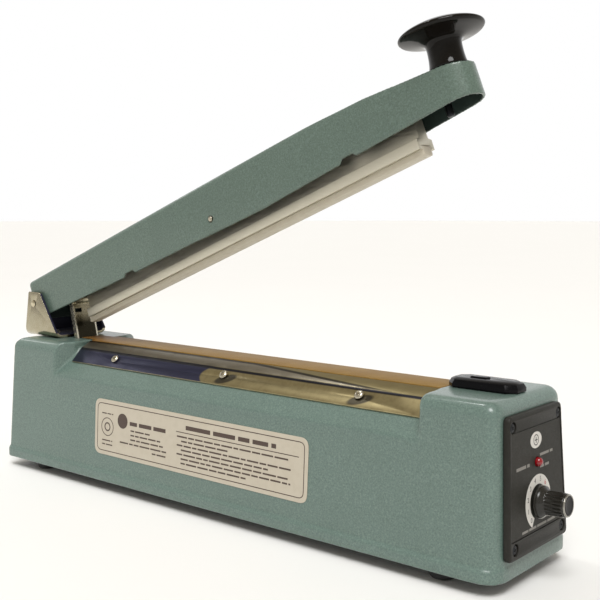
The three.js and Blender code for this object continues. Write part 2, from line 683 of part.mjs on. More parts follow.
function microswitch() {
  const body = block(SWITCH_X - 14, SWITCH_X + 14, -5, 7.7, 65, 81);
  const button = block(SWITCH_X - 2, SWITCH_X + 2, -1.5, 1.5, 80, 82.8);
  const tabs = [-10, 0, 10].map((dx) => block(SWITCH_X + dx - 1.5, SWITCH_X + dx + 1.5, -1, 1, 60, 66));
  return join(body, button, ...tabs);
}

function switchBracket() {
  const wall = block(SWITCH_X - 11, SWITCH_X + 11, 8, 9.5, 66, 88);
  const flange = block(SWITCH_X - 11, SWITCH_X + 11, 9, 20, 86.5, 88);
  return join(wall, flange);
}

// ---------------------------------------------------------------- control panel, in its own frame
// X points out of the sloping front face, Z up along it, and the origin is at the face's middle.
function panelOutline(inset) {
  const [low, high] = PANEL_HALF_WIDTH;
  const h = PANEL_HALF_HEIGHT - inset;
  const corners = [[-low + inset, -h], [low - inset, -h], [high - inset, h], [-high + inset, h]];
  return rounded(corners, 3.5 - inset, 4);
}

function panelPlate() {
  const ring = (inset, x) => panelOutline(inset).map(([y, w]) => [x, y, w]);
  const front = GAP + PANEL_THICKNESS;
  const plate = loft([ring(0, GAP), ring(0, front - 1), ring(0.35, front - 0.3), ring(1, front)]);
  const recess = rounded([[-31.2, -27.4], [31.2, -27.4], [28.2, 29], [-28.2, 29]], 0.8, 2);
  const tools = [
    prismX(recess, front - 0.7, front + 2),
    rod([-1, 0, DIAL_W], [9, 0, DIAL_W], 3.9, 20),
    rod([-1, 0, LAMP_W], [9, 0, LAMP_W], 2.9, 20),
  ];
  for (const [, side] of SIDES) {
    for (const w of PANEL_SCREW_W) {
      const y = side * PANEL_SCREW_Y(w);
      tools.push(rod([-1, y, w], [9, y, w], 1.8, 12), rod([front - 1.6, y, w], [9, y, w], 3.3, 16));
    }
  }
  return cut(plate, ...tools);
}

function panelLabel() {
  const floor = GAP + PANEL_THICKNESS - 0.7;
  const sheet = prismX(
    rounded([[-30.8, -27], [30.8, -27], [27.8, 28.6], [-27.8, 28.6]], 0.6, 2), floor + 0.12, floor + 0.42);
  return cut(sheet,
    rod([0, 0, DIAL_W], [9, 0, DIAL_W], 3.9, 20),
    rod([0, 0, LAMP_W], [9, 0, LAMP_W], 2.9, 20));
}

function lathedOut(profile, w, segments) {
  return new THREE.LatheGeometry(profile.map(([r, x]) => new THREE.Vector2(r, x)), segments)
    .rotateZ(-Math.PI / 2).translate(0, 0, w);
}

function timerPotentiometer() {
  const can = rod([-14, 0, DIAL_W], [-4, 0, DIAL_W], 8, 20);
  const bush = rod([-5, 0, DIAL_W], [4.4, 0, DIAL_W], 3.5, 16);
  const shaft = rod([4, 0, DIAL_W], [16, 0, DIAL_W], 3, 16);
  return join(can, bush, shaft);
}

function timerKnob() {
  const flutes = 18;
  const outline = [];
  for (let i = 0; i < flutes * 2; i += 1) {
    const angle = i * Math.PI / flutes;
    const r = i % 2 === 0 ? 6.5 : 6.0;
    outline.push([r * Math.cos(angle), DIAL_W + r * Math.sin(angle)]);
  }
  const grip = prismX(outline, 8.5, 19.4);
  const skirtProfile = [[0, 4.6], [8.6, 4.6], [8.75, 5.2], [8.6, 7], [7.4, 8.6], [6.2, 9.4], [0, 9.4]];
  const skirt = lathedOut(skirtProfile, DIAL_W, 32);
  const collar = rod([19, 0, DIAL_W], [20.2, 0, DIAL_W], 6.2, 24);
  return cut(join(grip, skirt, collar), rod([0, 0, DIAL_W], [17.5, 0, DIAL_W], 3.4, 16));
}

function circuitBoard() {
  const pcb = block(-17.6, -16, -24, 24, -32, 9);
  const relay = block(-31, -17, -20, -4, -14, 6);
  const capacitor = rod([-34, 12, -2], [-17, 12, -2], 6, 16);
  const chip = block(-21, -17, -4, 8, -28, -20);
  return join(pcb, relay, capacitor, chip);
}

// ---------------------------------------------------------------- electrics under the deck
const TRANSFORMER = { x: 190, width: 66, depth: 30, height: 55, leg: 22, floor: 2.1 };

function transformerCore() {
  const { x, width, depth, height, leg, floor } = TRANSFORMER;
  const core = block(x - width / 2, x + width / 2, -depth / 2, depth / 2, floor, floor + height);
  const windows = [-1, 1].map((side) => {
    const near = x + side * leg / 2;
    const far = x + side * leg;
    const [x0, x1] = [Math.min(near, far), Math.max(near, far)];
    return block(x0, x1, -40, 40, floor + leg / 2, floor + height - leg / 2);
  });
  return cut(core, ...windows);
}

function transformerCoil() {
  const { x, depth, height, leg, floor } = TRANSFORMER;
  const z0 = floor + leg / 2 + GAP;
  const z1 = floor + height - leg / 2 - GAP;
  const outer = block(x - leg + GAP, x + leg - GAP, -25, 25, z0, z1);
  const half = leg / 2 + GAP;
  return cut(outer, block(x - half, x + half, -depth / 2 - GAP, depth / 2 + GAP, 0, 100));
}

function wire(points) {
  const path = new THREE.CatmullRomCurve3(points.map((p) => new THREE.Vector3(...p)));
  return sweep(path, 1.1, 12, 5);
}

// ---------------------------------------------------------------- assembly
const sealer = new THREE.Group();
const base = new THREE.Group();
sealer.add(base);
base.position.z = FOOT_HEIGHT;

add(base, 'base_housing', baseHousing(), teal);
add(base, 'bottom_cover', bottomCover(), blackSteel);
FOOT_X.forEach((x, i) => {
  for (const [sideName, side] of SIDES) {
    const place = `${i === 0 ? 'rear' : 'front'}_${sideName}`;
    add(base, `foot_${place}`, foot(), rubber).position.set(x, side * FOOT_Y, 0);
    const screw = add(base, `foot_screw_${place}`, panScrew(3.8, 2.2, 1.6, 18, false), steel);
    screw.position.set(x, side * FOOT_Y, -3 - GAP);
    screw.rotation.x = Math.PI;
  }
});

add(base, 'insulating_strip',
  block(STRIP_X[0], STRIP_X[1], -STRIP_HALF_WIDTH, STRIP_HALF_WIDTH, DECK_TOP + GAP, STRIP_TOP), laminate);
add(base, 'heating_element', heatingElement(), steel);
add(base, 'ptfe_cover', sealCover(), tape);
add(base, 'element_clamp_rear', elementClamp(62, ELEMENT_X[0] - GAP), brass);
add(base, 'element_clamp_front', elementClamp(ELEMENT_X[1] + GAP, 372), brass);
for (const [sideName, side] of SIDES) {
  add(base, `clamp_plate_${sideName}`, clampPlate(side), chrome);
  CLAMP_SCREWS.forEach(([x, slant], i) => {
    const screw = panScrew(3, 1.8, 1.5, 8);
    const placed = onChamfer(screw, side, x, slant, PLATE_THICKNESS + 2 * GAP);
    add(base, `clamp_screw_${sideName}_${i + 1}`, placed, steel);
  });
}

add(base, 'hinge_bracket', hingeBracket(), chrome);
add(base, 'hinge_pin', hingePin(), steel);
for (const [sideName, side] of SIDES) {
  const screw = add(base, `bracket_screw_${sideName}`, panScrew(4, 2.4, 1.6, 9), steel);
  screw.position.set(BRACKET_SCREW_X, side * BRACKET_SCREW_Y, BRACKET_FLOOR + GAP + BRACKET_SHEET);
}
add(base, 'spring_link', springLink(), chrome);
add(base, 'return_spring',
  coilSpring(SPRING_X, SPRING_SEAT_TOP + GAP, LINK_WEB.at(-1)[1] - GAP, 5.5, 0.8, 7), steel);

add(base, 'switch_bezel', switchBezel(), blackPlastic);
add(base, 'switch_plunger', switchPlunger(), blackPlastic);
add(base, 'microswitch', microswitch(), blackPlastic);
add(base, 'switch_bracket', switchBracket(), steel);

const gland = cut(
  join(rod([-0.5, 20, 30], [0.9, 20, 30], 8.5, 20), rod([0.5, 20, 30], [9, 20, 30], 6, 16)),
  rod([-2, 20, 30], [1.4, 20, 30], 3.4, 12));
add(base, 'cable_grommet', gland, rubber);
add(base, 'transformer_core', transformerCore(), lamination);
add(base, 'transformer_coil', transformerCoil(), copper);
add(base, 'element_wire_rear',
  wire([[67, 0, 72.7], [70, 2, 62], [95, 8, 52], [140, 20, 52], [167, 20, 46]]), wireRed);
add(base, 'element_wire_front',
  wire([[368, 0, 72.7], [366, 2, 62], [330, 8, 52], [250, 20, 52], [213, 20, 46]]), wireRed);

const label = new THREE.Group();
base.add(label);
const labelZ = (LABEL_Z[0] + LABEL_Z[1]) / 2;
label.position.set((LABEL_X[0] + LABEL_X[1]) / 2, -wallHalfWidth(labelZ), labelZ);
label.rotation.x = -Math.atan(SIDE_DRAFT);
const labelHalf = [(LABEL_X[1] - LABEL_X[0]) / 2, (LABEL_Z[1] - LABEL_Z[0]) / 2];
const labelOutline = rounded([[-1, -1], [1, -1], [1, 1], [-1, 1]].map(
  ([u, v]) => [u * labelHalf[0], v * labelHalf[1]]), 6, 6);
add(label, 'side_label', prismY(labelOutline, -0.42, -0.12), cream);

const panel = new THREE.Group();
base.add(panel);
panel.position.set(frontFaceX(PANEL_CENTRE_Z), PANEL_Y, PANEL_CENTRE_Z);
panel.rotation.y = -Math.atan(SIDE_DRAFT);
add(panel, 'control_panel', panelPlate(), greyPlastic);
add(panel, 'panel_label', panelLabel(), greyPlastic);
let panelScrewCount = 0;
for (const w of PANEL_SCREW_W) {
  for (const [, side] of SIDES) {
    panelScrewCount += 1;
    const screw = panScrew(2.9, 1.2, 1.5, 9).rotateY(Math.PI / 2);
    add(panel, `panel_screw_${panelScrewCount}`, screw, blackSteel)
      .position.set(PANEL_THICKNESS - 1 - GAP / 2, side * PANEL_SCREW_Y(w), w);
  }
}
add(panel, 'indicator_lamp', lathedOut(
  [[0, -6], [2.5, -6], [2.5, 4.2], [2.2, 5.4], [1.2, 6.4], [0, 6.7]], LAMP_W, 14), redLens);
add(panel, 'timer_potentiometer', timerPotentiometer(), steel);
add(panel, 'timer_knob', timerKnob(), blackPlastic);
add(panel, 'timer_knob_cap',
  lathedOut([[0, 20.5], [5.6, 20.5], [5.6, 21], [5.2, 21.2], [0, 21.2]], DIAL_W, 20), aluminium);
add(panel, 'timer_circuit_board', circuitBoard(), board);

const arm = new THREE.Group();
base.add(arm);
arm.position.set(PIVOT.x, 0, PIVOT.z);
arm.rotation.y = -OPEN_ANGLE;
add(arm, 'arm_shell', armShell(), armTeal);
const knob = add(arm, 'handle_knob', handleKnob(), blackPlastic);
knob.position.set(KNOB_S, 0, armTopAt(KNOB_S));
knob.rotation.y = KNOB_LEAN;
const studAxis = knobStudAxis();
add(arm, 'knob_stud', join(rod(studAxis.at(-6), studAxis.at(13.5), 2.9, 12),
  rod(studAxis.at(-6), studAxis.at(-ARM_WALL - GAP), 4, 6)), steel);
const crossPin = (pin, end) => rod([pin.s, -end, pin.t], [pin.s, end, pin.t], pin.radius, 16);
add(arm, 'bar_pin', crossPin(BAR_PIN, armHalfWidth(BAR_PIN.s) + 0.4), steel);
add(arm, 'link_pin', crossPin(LINK_PIN, armHalfWidth(LINK_PIN.s) - ARM_WALL - GAP), steel);
const strikerTop = armTopAt(STRIKER_S) - ARM_WALL - 1.2;
add(arm, 'striker', rod([STRIKER_S, 0, STRIKER_END], [STRIKER_S, 0, strikerTop], 2.2, 12), blackSteel);
NOTCH_S.forEach((s, i) => {
  add(arm, `bar_spring_${i === 0 ? 'rear' : 'front'}`,
    coilSpring(s, BAR_WEB.top + BAR_FLOAT + GAP, armTopAt(s) - ARM_WALL - GAP, 3.4, 0.7, 3), steel);
});
add(arm, 'press_bar', pressBar(), aluminium);
add(arm, 'silicone_strip', siliconeStrip(), silicone);

const bounds = new THREE.Box3().setFromObject(sealer, true);
sealer.position.x = -(bounds.min.x + bounds.max.x) / 2;

export default sealer;
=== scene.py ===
import json
import math
import random

import bmesh
import bpy
import numpy as np
from mathutils import Matrix, Vector

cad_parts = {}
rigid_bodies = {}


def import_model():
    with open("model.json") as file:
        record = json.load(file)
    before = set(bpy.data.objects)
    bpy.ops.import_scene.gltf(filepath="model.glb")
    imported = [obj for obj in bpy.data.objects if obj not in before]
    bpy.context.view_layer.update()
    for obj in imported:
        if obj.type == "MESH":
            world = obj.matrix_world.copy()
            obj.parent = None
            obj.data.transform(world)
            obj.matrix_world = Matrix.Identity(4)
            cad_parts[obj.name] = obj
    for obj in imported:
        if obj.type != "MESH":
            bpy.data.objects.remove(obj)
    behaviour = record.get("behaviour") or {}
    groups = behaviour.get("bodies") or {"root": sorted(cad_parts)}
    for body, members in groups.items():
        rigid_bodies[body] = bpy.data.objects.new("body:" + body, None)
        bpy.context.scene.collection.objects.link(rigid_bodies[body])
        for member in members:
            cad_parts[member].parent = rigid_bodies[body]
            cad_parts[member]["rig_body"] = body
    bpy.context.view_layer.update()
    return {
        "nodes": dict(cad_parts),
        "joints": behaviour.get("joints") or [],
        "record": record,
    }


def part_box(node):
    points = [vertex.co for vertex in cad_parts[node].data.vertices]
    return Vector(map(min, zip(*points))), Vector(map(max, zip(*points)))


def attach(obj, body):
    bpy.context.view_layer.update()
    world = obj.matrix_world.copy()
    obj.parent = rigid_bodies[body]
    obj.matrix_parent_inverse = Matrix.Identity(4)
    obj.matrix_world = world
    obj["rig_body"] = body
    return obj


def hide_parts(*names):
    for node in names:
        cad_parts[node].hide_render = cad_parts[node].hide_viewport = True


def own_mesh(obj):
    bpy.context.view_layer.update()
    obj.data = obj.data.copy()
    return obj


# An impulse heat sealer with its arm sprung open. Lengths are in metres, in the row frame.
MM = 0.001
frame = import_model()
NODES = frame["nodes"]
SLOT_OF = {row["node"]: row["material_slot"] for row in frame["record"]["subparts"]}
JOINTS = {joint["name"]: joint for joint in frame["joints"]}

PIVOT = Vector(JOINTS["arm_hinge"]["pos_m"])
OPEN_ANGLE = math.radians(JOINTS["arm_hinge"]["range_deg"][1])
ALONG_ARM = Vector((math.cos(OPEN_ANGLE), 0, math.sin(OPEN_ANGLE)))
ABOVE_ARM = Vector((-math.sin(OPEN_ANGLE), 0, math.cos(OPEN_ANGLE)))
DIAL_AXIS = Vector(JOINTS["timer_knob_turn"]["axis"]).normalized()
PANEL_UP = Vector((-DIAL_AXIS.z, 0, DIAL_AXIS.x))
ACROSS = Vector((0, 1, 0))
UP = Vector((0, 0, 1))
SIDES = (("near", -1), ("far", 1))


# ---------------------------------------------------------------- node materials
class Shader:
    """A material built round one Principled shader, with object-space patterns."""

    def __init__(self, name, colour, roughness, metallic=0.0, **values):
        self.material = bpy.data.materials.new(name)
        self.material.use_nodes = True
        self.tree = self.material.node_tree
        self.main = self.tree.nodes["Principled BSDF"]
        self.coords = self.tree.nodes.new("ShaderNodeTexCoord")
        self.colour_socket = None
        self.colour = colour
        self.main.inputs["Base Color"].default_value = (*colour, 1)
        self.main.inputs["Roughness"].default_value = roughness
        self.main.inputs["Metallic"].default_value = metallic
        for key, value in values.items():
            self.main.inputs[key.replace("_", " ")].default_value = value

    def node(self, kind, **settings):
        made = self.tree.nodes.new(kind)
        for key, value in settings.items():
            setattr(made, key, value)
        return made

    def link(self, a, b):
        self.tree.links.new(a, b)

    def stretched(self, scale):
        mapping = self.node("ShaderNodeMapping")
        mapping.inputs["Scale"].default_value = scale
        self.link(self.coords.outputs["Object"], mapping.inputs["Vector"])
        return mapping.outputs["Vector"]

    def noise(self, size, detail=3.0, stretch=(1, 1, 1)):
        """Noise whose blobs are about size metres across, stretched along an axis by a small scale."""
        made = self.node("ShaderNodeTexNoise")
        made.inputs["Scale"].default_value = 1 / size
        made.inputs["Detail"].default_value = detail
        made.inputs["Roughness"].default_value = 0.55
        self.link(self.stretched(stretch), made.inputs["Vector"])
        return made.outputs["Fac"]

    def cells(self, size):
        """Soft-edged cells about size metres across."""
        made = self.node("ShaderNodeTexVoronoi", feature="SMOOTH_F1")
        made.inputs["Scale"].default_value = 1 / size
        self.link(self.stretched((1, 1, 1)), made.inputs["Vector"])
        return made.outputs["Distance"]

    def ramp(self, value, low, high, at_low=0.0, at_high=1.0):
        made = self.node("ShaderNodeMapRange")
        made.inputs["From Min"].default_value = low
        made.inputs["From Max"].default_value = high
        made.inputs["To Min"].default_value = at_low
        made.inputs["To Max"].default_value = at_high
        self.link(value, made.inputs["Value"])
        return made.outputs["Result"]

    def math(self, operation, a, b=0.0):
        made = self.node("ShaderNodeMath", operation=operation)
        for socket, value in zip(made.inputs, (a, b)):
            if isinstance(value, (int, float)):
                socket.default_value = value
            else:
                self.link(value, socket)
        return made.outputs[0]

    def blend(self, factor, other):
        """Mixes another colour over the present one by a 0 to 1 pattern."""
        made = self.node("ShaderNodeMix", data_type="RGBA")
        if self.colour_socket is None:
            made.inputs["A"].default_value = (*self.colour, 1)
        else:
            self.link(self.colour_socket, made.inputs["A"])
        made.inputs["B"].default_value = (*other, 1)
        self.link(factor, made.inputs["Factor"])
        self.colour_socket = made.outputs["Result"]
        self.link(self.colour_socket, self.main.inputs["Base Color"])
        return self

    def rough(self, value, low, high):
        self.link(self.ramp(value, 0.3, 0.7, low, high), self.main.inputs["Roughness"])
        return self

    def bump(self, value, depth, strength=1.0):
        """Relief of that depth in metres; calls add up."""
        made = self.node("ShaderNodeBump")
        made.inputs["Distance"].default_value = depth
        made.inputs["Strength"].default_value = strength
        self.link(value, made.inputs["Height"])
        present = self.main.inputs["Normal"]
        if present.is_linked:
            self.link(present.links[0].from_socket, made.inputs["Normal"])
        self.link(made.outputs["Normal"], present)
        return self

    def axis(self, name):
        split = self.node("ShaderNodeSeparateXYZ")
        self.link(self.coords.outputs["Object"], split.inputs[0])
        return split.outputs[name]


def hammered_paint(name, colour, dark, light):
    """Enamel with a hammered skin: shallow cells, fine speckle and slow cloudy patches."""
    paint = Shader(name, colour, 0.4, Coat_Weight=0.5, Coat_Roughness=0.12)
    speckle = paint.noise(0.7 * MM, 2)
    paint.blend(paint.ramp(speckle, 0.44, 0.64, 0, 0.85), dark)
    paint.blend(paint.ramp(paint.noise(1.1 * MM, 2), 0.48, 0.68, 0, 0.75), light)
    paint.blend(paint.ramp(paint.noise(34 * MM, 3), 0.45, 0.75, 0, 0.22), dark)
    paint.rough(speckle, 0.36, 0.52)
    paint.bump(paint.cells(1.7 * MM), 0.07 * MM, 0.3)
    paint.bump(speckle, 0.03 * MM, 0.4)
    return paint.material


def brushed_metal(name, colour, roughness, along=(1, 1, 1), depth=0.01, tint=None):
    metal = Shader(name, colour, roughness, 1.0)
    grain = metal.noise(0.5 * MM, 3, along)
    metal.rough(grain, roughness * 0.7, roughness * 1.4)
    metal.bump(grain, depth * MM, 0.5)
    if tint:
        metal.blend(metal.ramp(metal.noise(6 * MM, 4), 0.42, 0.7, 0, 0.6), tint)
    return metal.material


def moulded(name, colour, roughness, grain_mm=0.5, depth=0.03, coat=0.0, light=None, specular=0.5):
    plastic = Shader(name, colour, roughness, Coat_Weight=coat, Coat_Roughness=0.08,
                     Specular_IOR_Level=specular)
    grain = plastic.noise(grain_mm * MM, 3)
    plastic.rough(grain, roughness * 0.85, roughness * 1.2)
    plastic.bump(grain, depth * MM, 0.4)
    if light:
        plastic.blend(plastic.ramp(plastic.noise(5 * MM, 4), 0.45, 0.75, 0, 0.5), light)
    return plastic.material


def mirror_plate():
    """Bright side plate: straw-brown, a tint that is partly its own and partly painted warm reflection;
    painted dark reflection over its hinge end and painted shade in the bend. Its upper flange is greyer
    behind a painted shadow line that falls to the bend near the front end."""
    # Base tint: partly the steel's own colour, partly painted warm reflection.
    plate = Shader("mirror_plate", (0.27, 0.225, 0.115), 0.3, 0.85)
    along = plate.axis("X")
    height = plate.axis("Z")
    plate.blend(plate.ramp(plate.noise(3 * MM, 5), 0.45, 0.8, 0, 0.6), (0.19, 0.15, 0.075))
    # Dark hooks of painted reflection below two of the screws.
    for place in PLATE_DARK_REFLECTIONS:
        aside = plate.math("DIVIDE", plate.math("SUBTRACT", along, place), 9 * MM)
        rise = plate.math("DIVIDE", plate.math("SUBTRACT", height, PLATE_BEND_Z - 5.4 * MM), 2.6 * MM)
        sloped = plate.math("SUBTRACT", rise, plate.math("MULTIPLY", aside, 0.8))
        away = plate.math("ADD", plate.math("POWER", aside, 2), plate.math("POWER", sloped, 2))
        plate.blend(plate.ramp(away, 1.0, 0.6, 0, 0.85), (0.03, 0.028, 0.025))
    # Painted dark reflection of the arm's dark inside over the plate's hinge end, its front edge bowed with
    # height.
    middle = plate.math("SUBTRACT", height, PLATE_BEND_Z - 5 * MM)
    bulge = plate.math("MULTIPLY", plate.math("POWER", middle, 2), 260)
    edge = plate.math("SUBTRACT", along, bulge)
    plate.blend(plate.ramp(edge, DARK_REFLECTION_END_X + 0.8 * MM, DARK_REFLECTION_END_X - 0.8 * MM), (0.04, 0.042, 0.08))
    # A painted shadow line on the upper flange, level at the rear and falling to the bend near the front;
    # the flange is set back to the base tint and is greyer behind the line.
    drop = plate.ramp(along, *SHADOW_LINE_X, 0, PLATE_TOP - PLATE_BEND_Z)
    over = plate.math("SUBTRACT", height, plate.math("SUBTRACT", PLATE_TOP - 0.3 * MM, drop))
    flange = plate.ramp(height, PLATE_BEND_Z + 0.2 * MM, PLATE_BEND_Z + 0.7 * MM)
    plate.blend(flange, (0.27, 0.225, 0.115))
    grey = plate.math("MULTIPLY", flange, plate.ramp(over, 0.2 * MM, -0.2 * MM))
    plate.blend(grey, (0.24, 0.215, 0.165))
    # The line itself: nearly black painted shadow.
    line = plate.ramp(plate.math("ABSOLUTE", over), 0.6 * MM, 0.3 * MM, 0, 0.9)
    plate.blend(plate.math("MULTIPLY", flange, line), (0.02, 0.018, 0.015))
    # Painted shade in the bend of the plate.
    above = plate.ramp(height, PLATE_BEND_Z - 1.3 * MM, PLATE_BEND_Z - 0.8 * MM)
    below = plate.ramp(height, PLATE_BEND_Z + 0.5 * MM, PLATE_BEND_Z + 0.1 * MM)
    plate.blend(plate.math("MULTIPLY", above, below), (0.02, 0.02, 0.025))
    # A painted highlight along the plate's lower edge.
    lower_edge_highlight = plate.ramp(height, PLATE_FOOT_Z + 0.9 * MM, PLATE_FOOT_Z + 0.5 * MM, 0, 0.7)
    plate.blend(lower_edge_highlight, (0.7, 0.6, 0.36))
    plate.bump(plate.noise(24 * MM, 2, (0.5, 1.6, 1.6)), 0.5 * MM, 0.3)
    plate.rough(plate.noise(9 * MM, 4), 0.28, 0.42)
    return plate.material


def woven_cloth():
    """Coated glass cloth: a fine square weave, darker and browner towards its rear end."""
    cloth = Shader("ptfe_cloth", (0.25, 0.15, 0.04), 0.5, Coat_Weight=0.02, Coat_Roughness=0.35,
                   Specular_IOR_Level=0.15)
    pitch = 0.7 * MM
    threads = []
    for name in ("X", "Y"):
        wave = cloth.math("SINE", cloth.math("MULTIPLY", cloth.axis(name), 2 * math.pi / pitch))
        threads.append(cloth.ramp(wave, -1, 1))
    weave = cloth.math("MAXIMUM", threads[0], threads[1])
    cloth.blend(cloth.ramp(weave, 0.2, 1, 0.35, 0), (0.17, 0.09, 0.03))
    cloth.blend(cloth.ramp(cloth.noise(14 * MM, 4), 0.45, 0.75, 0, 0.45), (0.32, 0.205, 0.065))
    # Darker and browner towards the rear end.
    cloth.blend(cloth.ramp(cloth.axis("X"), *CLOTH_DARKER_X, 0, 0.75), (0.19, 0.085, 0.022))
    cloth.bump(weave, 0.05 * MM, 0.6)
    return cloth.material


def plated_strap():
    """The link's plating: tan web with painted highlights along its rims, and painted shade that makes it
    nearly black towards its foot.
    """
    strap = Shader("strap", (0.42, 0.38, 0.27), 0.24, 0.85)
    foot = BLOCK_TOP + 10 * MM
    web = strap.ramp(strap.math("ABSOLUTE", strap.axis("Y")), 8.7 * MM, 8.3 * MM)
    strap.blend(strap.ramp(strap.noise(5 * MM, 4), 0.4, 0.75, 0, 0.5), (0.26, 0.23, 0.14))
    # Painted shade darkening the web towards its foot.
    foot_shade = strap.ramp(strap.axis("Z"), foot + 10 * MM, foot, 0, 0.97)
    strap.blend(strap.math("MULTIPLY", foot_shade, web), (0.015, 0.013, 0.006))
    # Painted highlights along the rims.
    strap.blend(strap.math("SUBTRACT", 1.0, web), (0.72, 0.69, 0.58))
    strap.rough(strap.noise(4 * MM, 3), 0.18, 0.34)
    return strap.material


# Places that the position-dependent materials use.
plate_low, plate_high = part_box("clamp_plate_near")
CLOTH_DARKER_X = (-110 * MM, -160 * MM)
BLOCK_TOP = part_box("base_housing")[1].z
PLATE_FOOT_Z = plate_low.z
PLATE_BEND_Z = plate_low.z + 9.6 * MM
PLATE_TOP = plate_high.z
# Where the painted dark reflection over the hinge end stops.
DARK_REFLECTION_END_X = plate_low.x + 131 * MM
# Where the painted shadow line on the flange falls from its top to the bend.
SHADOW_LINE_X = (plate_low.x + 168 * MM, plate_low.x + 290 * MM)
# Where the painted dark reflections under the screws lie along the plate.
PLATE_DARK_REFLECTIONS = [plate_low.x + 154 * MM, plate_low.x + 261 * MM]

MATERIALS = {
    "teal_paint": hammered_paint("teal_paint", (0.114, 0.176, 0.152), (0.08, 0.125, 0.107),
                                 (0.154, 0.224, 0.194)),
    "arm_paint": hammered_paint("arm_paint", (0.098, 0.146, 0.116), (0.066, 0.102, 0.084),
                                (0.131, 0.19, 0.16)),
    "black_steel": brushed_metal("black_steel", (0.03, 0.032, 0.035), 0.35),
    "laminate": moulded("laminate", (0.16, 0.075, 0.035), 0.5, 1.2, 0.02, light=(0.24, 0.13, 0.06)),
    "heater_ribbon": brushed_metal("heater_ribbon", (0.55, 0.5, 0.45), 0.3, (0.05, 1, 1)),
    "ptfe_cloth": woven_cloth(),
    "brass": brushed_metal("brass", (0.62, 0.42, 0.16), 0.25, tint=(0.35, 0.22, 0.08)),
    "chrome": brushed_metal("chrome", (0.45, 0.41, 0.3), 0.2, (1, 1, 1), 0.006, (0.36, 0.32, 0.21)),
    "mirror_plate": mirror_plate(),
    "steel": brushed_metal("steel", (0.54, 0.5, 0.4), 0.26),
    "black_plastic": moulded("black_plastic", (0.004, 0.004, 0.005), 0.16, 2.5, 0.006, specular=0.1),
    "handle_plastic": moulded("handle_plastic", (0.006, 0.005, 0.004), 0.08, 3, 0.005, specular=0.2),
    "rubber": moulded("rubber", (0.018, 0.018, 0.019), 0.7, 0.6, 0.05, light=(0.05, 0.05, 0.05)),
    "lamination": brushed_metal("lamination", (0.16, 0.17, 0.19), 0.45, (1, 12, 1), 0.05),
    "copper": brushed_metal("copper", (0.45, 0.17, 0.06), 0.35, (1, 1, 8), 0.08),
    "wire": moulded("wire", (0.32, 0.03, 0.02), 0.45),
    "cream_label": moulded("cream_label", (0.52, 0.47, 0.38), 0.42, 0.9, 0.01, 0.1, (0.46, 0.41, 0.32)),
    "panel_plastic": moulded("panel_plastic", (0.017, 0.016, 0.013), 0.48, 0.45, 0.05,
                             light=(0.028, 0.027, 0.022), specular=0.25),
    "panel_face": moulded("panel_face", (0.021, 0.02, 0.016), 0.55, 0.6, 0.03,
                          light=(0.033, 0.031, 0.026), specular=0.25),
    "red_lens": moulded("red_lens", (0.24, 0.004, 0.008), 0.12, 2, 0.01, 0.5),
    "knob_cap": brushed_metal("knob_cap", (0.5, 0.48, 0.45), 0.22, (1, 1, 1), 0.01),
    "circuit_board": moulded("circuit_board", (0.02, 0.12, 0.045), 0.4, 2, 0.01, 0.3),
    "bar_aluminium": brushed_metal("bar_aluminium", (0.64, 0.61, 0.51), 0.42, (0.06, 1, 1), 0.012),
    "silicone": moulded("silicone", (0.56, 0.51, 0.41), 0.5, 0.8, 0.02, light=(0.64, 0.6, 0.5)),
}
# Dark paint for the faces inside the arm: painted shade, since the hollow is unlit.
ARM_INSIDE_SHADE = moulded("arm_inside_shade", (0.02, 0.034, 0.029), 0.6, 0.8, 0.03, specular=0.3)
KNOB_PLASTIC = moulded("knob_plastic", (0.014, 0.013, 0.01), 0.24, 2, 0.006)
# Dark navy for the hinge bracket's inner faces: painted shade and dark reflection.
BRACKET_INSIDE_SHADE = moulded("bracket_inside_shade", (0.02, 0.02, 0.04), 0.5, 1.5, 0.01, specular=0.2)
PLATED_STRAP = plated_strap()
PIN_HEAD = brushed_metal("pin_head", (0.62, 0.56, 0.4), 0.18)
KNOB_RIM = brushed_metal("knob_rim", (0.34, 0.33, 0.3), 0.28)
LABEL_INK = moulded("label_ink", (0.07, 0.045, 0.035), 0.5, 0.6, 0.005)
PANEL_INK = moulded("panel_ink", (0.62, 0.6, 0.56), 0.5, 0.6, 0.005)
PANEL_MARKS = moulded("panel_marks", (0.2, 0.19, 0.17), 0.5, 0.6, 0.005)
DIAL_INK = moulded("dial_ink", (0.02, 0.02, 0.02), 0.5, 0.6, 0.005)
RED_INK = moulded("red_ink", (0.45, 0.02, 0.02), 0.5, 0.6, 0.005)


# ---------------------------------------------------------------- pieces
def piece(name, mesh, nodes, material=None, sharp=35.0):
    """Makes a mesh a visible piece that stands for the CAD nodes and rides on their body."""
    thing = bpy.data.objects.new(name, mesh)
    bpy.context.scene.collection.objects.link(thing)
    slot = SLOT_OF[nodes[0]]
    mesh.materials.clear()
    mesh.materials.append(material or MATERIALS[slot])
    mesh.shade_smooth()
    mesh.set_sharp_from_angle(angle=math.radians(sharp))
    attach(thing, NODES[nodes[0]]["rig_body"])
    return thing


def applied(thing):
    """Turns an object's modifiers into its mesh."""
    graph = bpy.context.evaluated_depsgraph_get()
    mesh = bpy.data.meshes.new_from_object(thing.evaluated_get(graph))
    thing.modifiers.clear()
    thing.data = mesh
    return thing


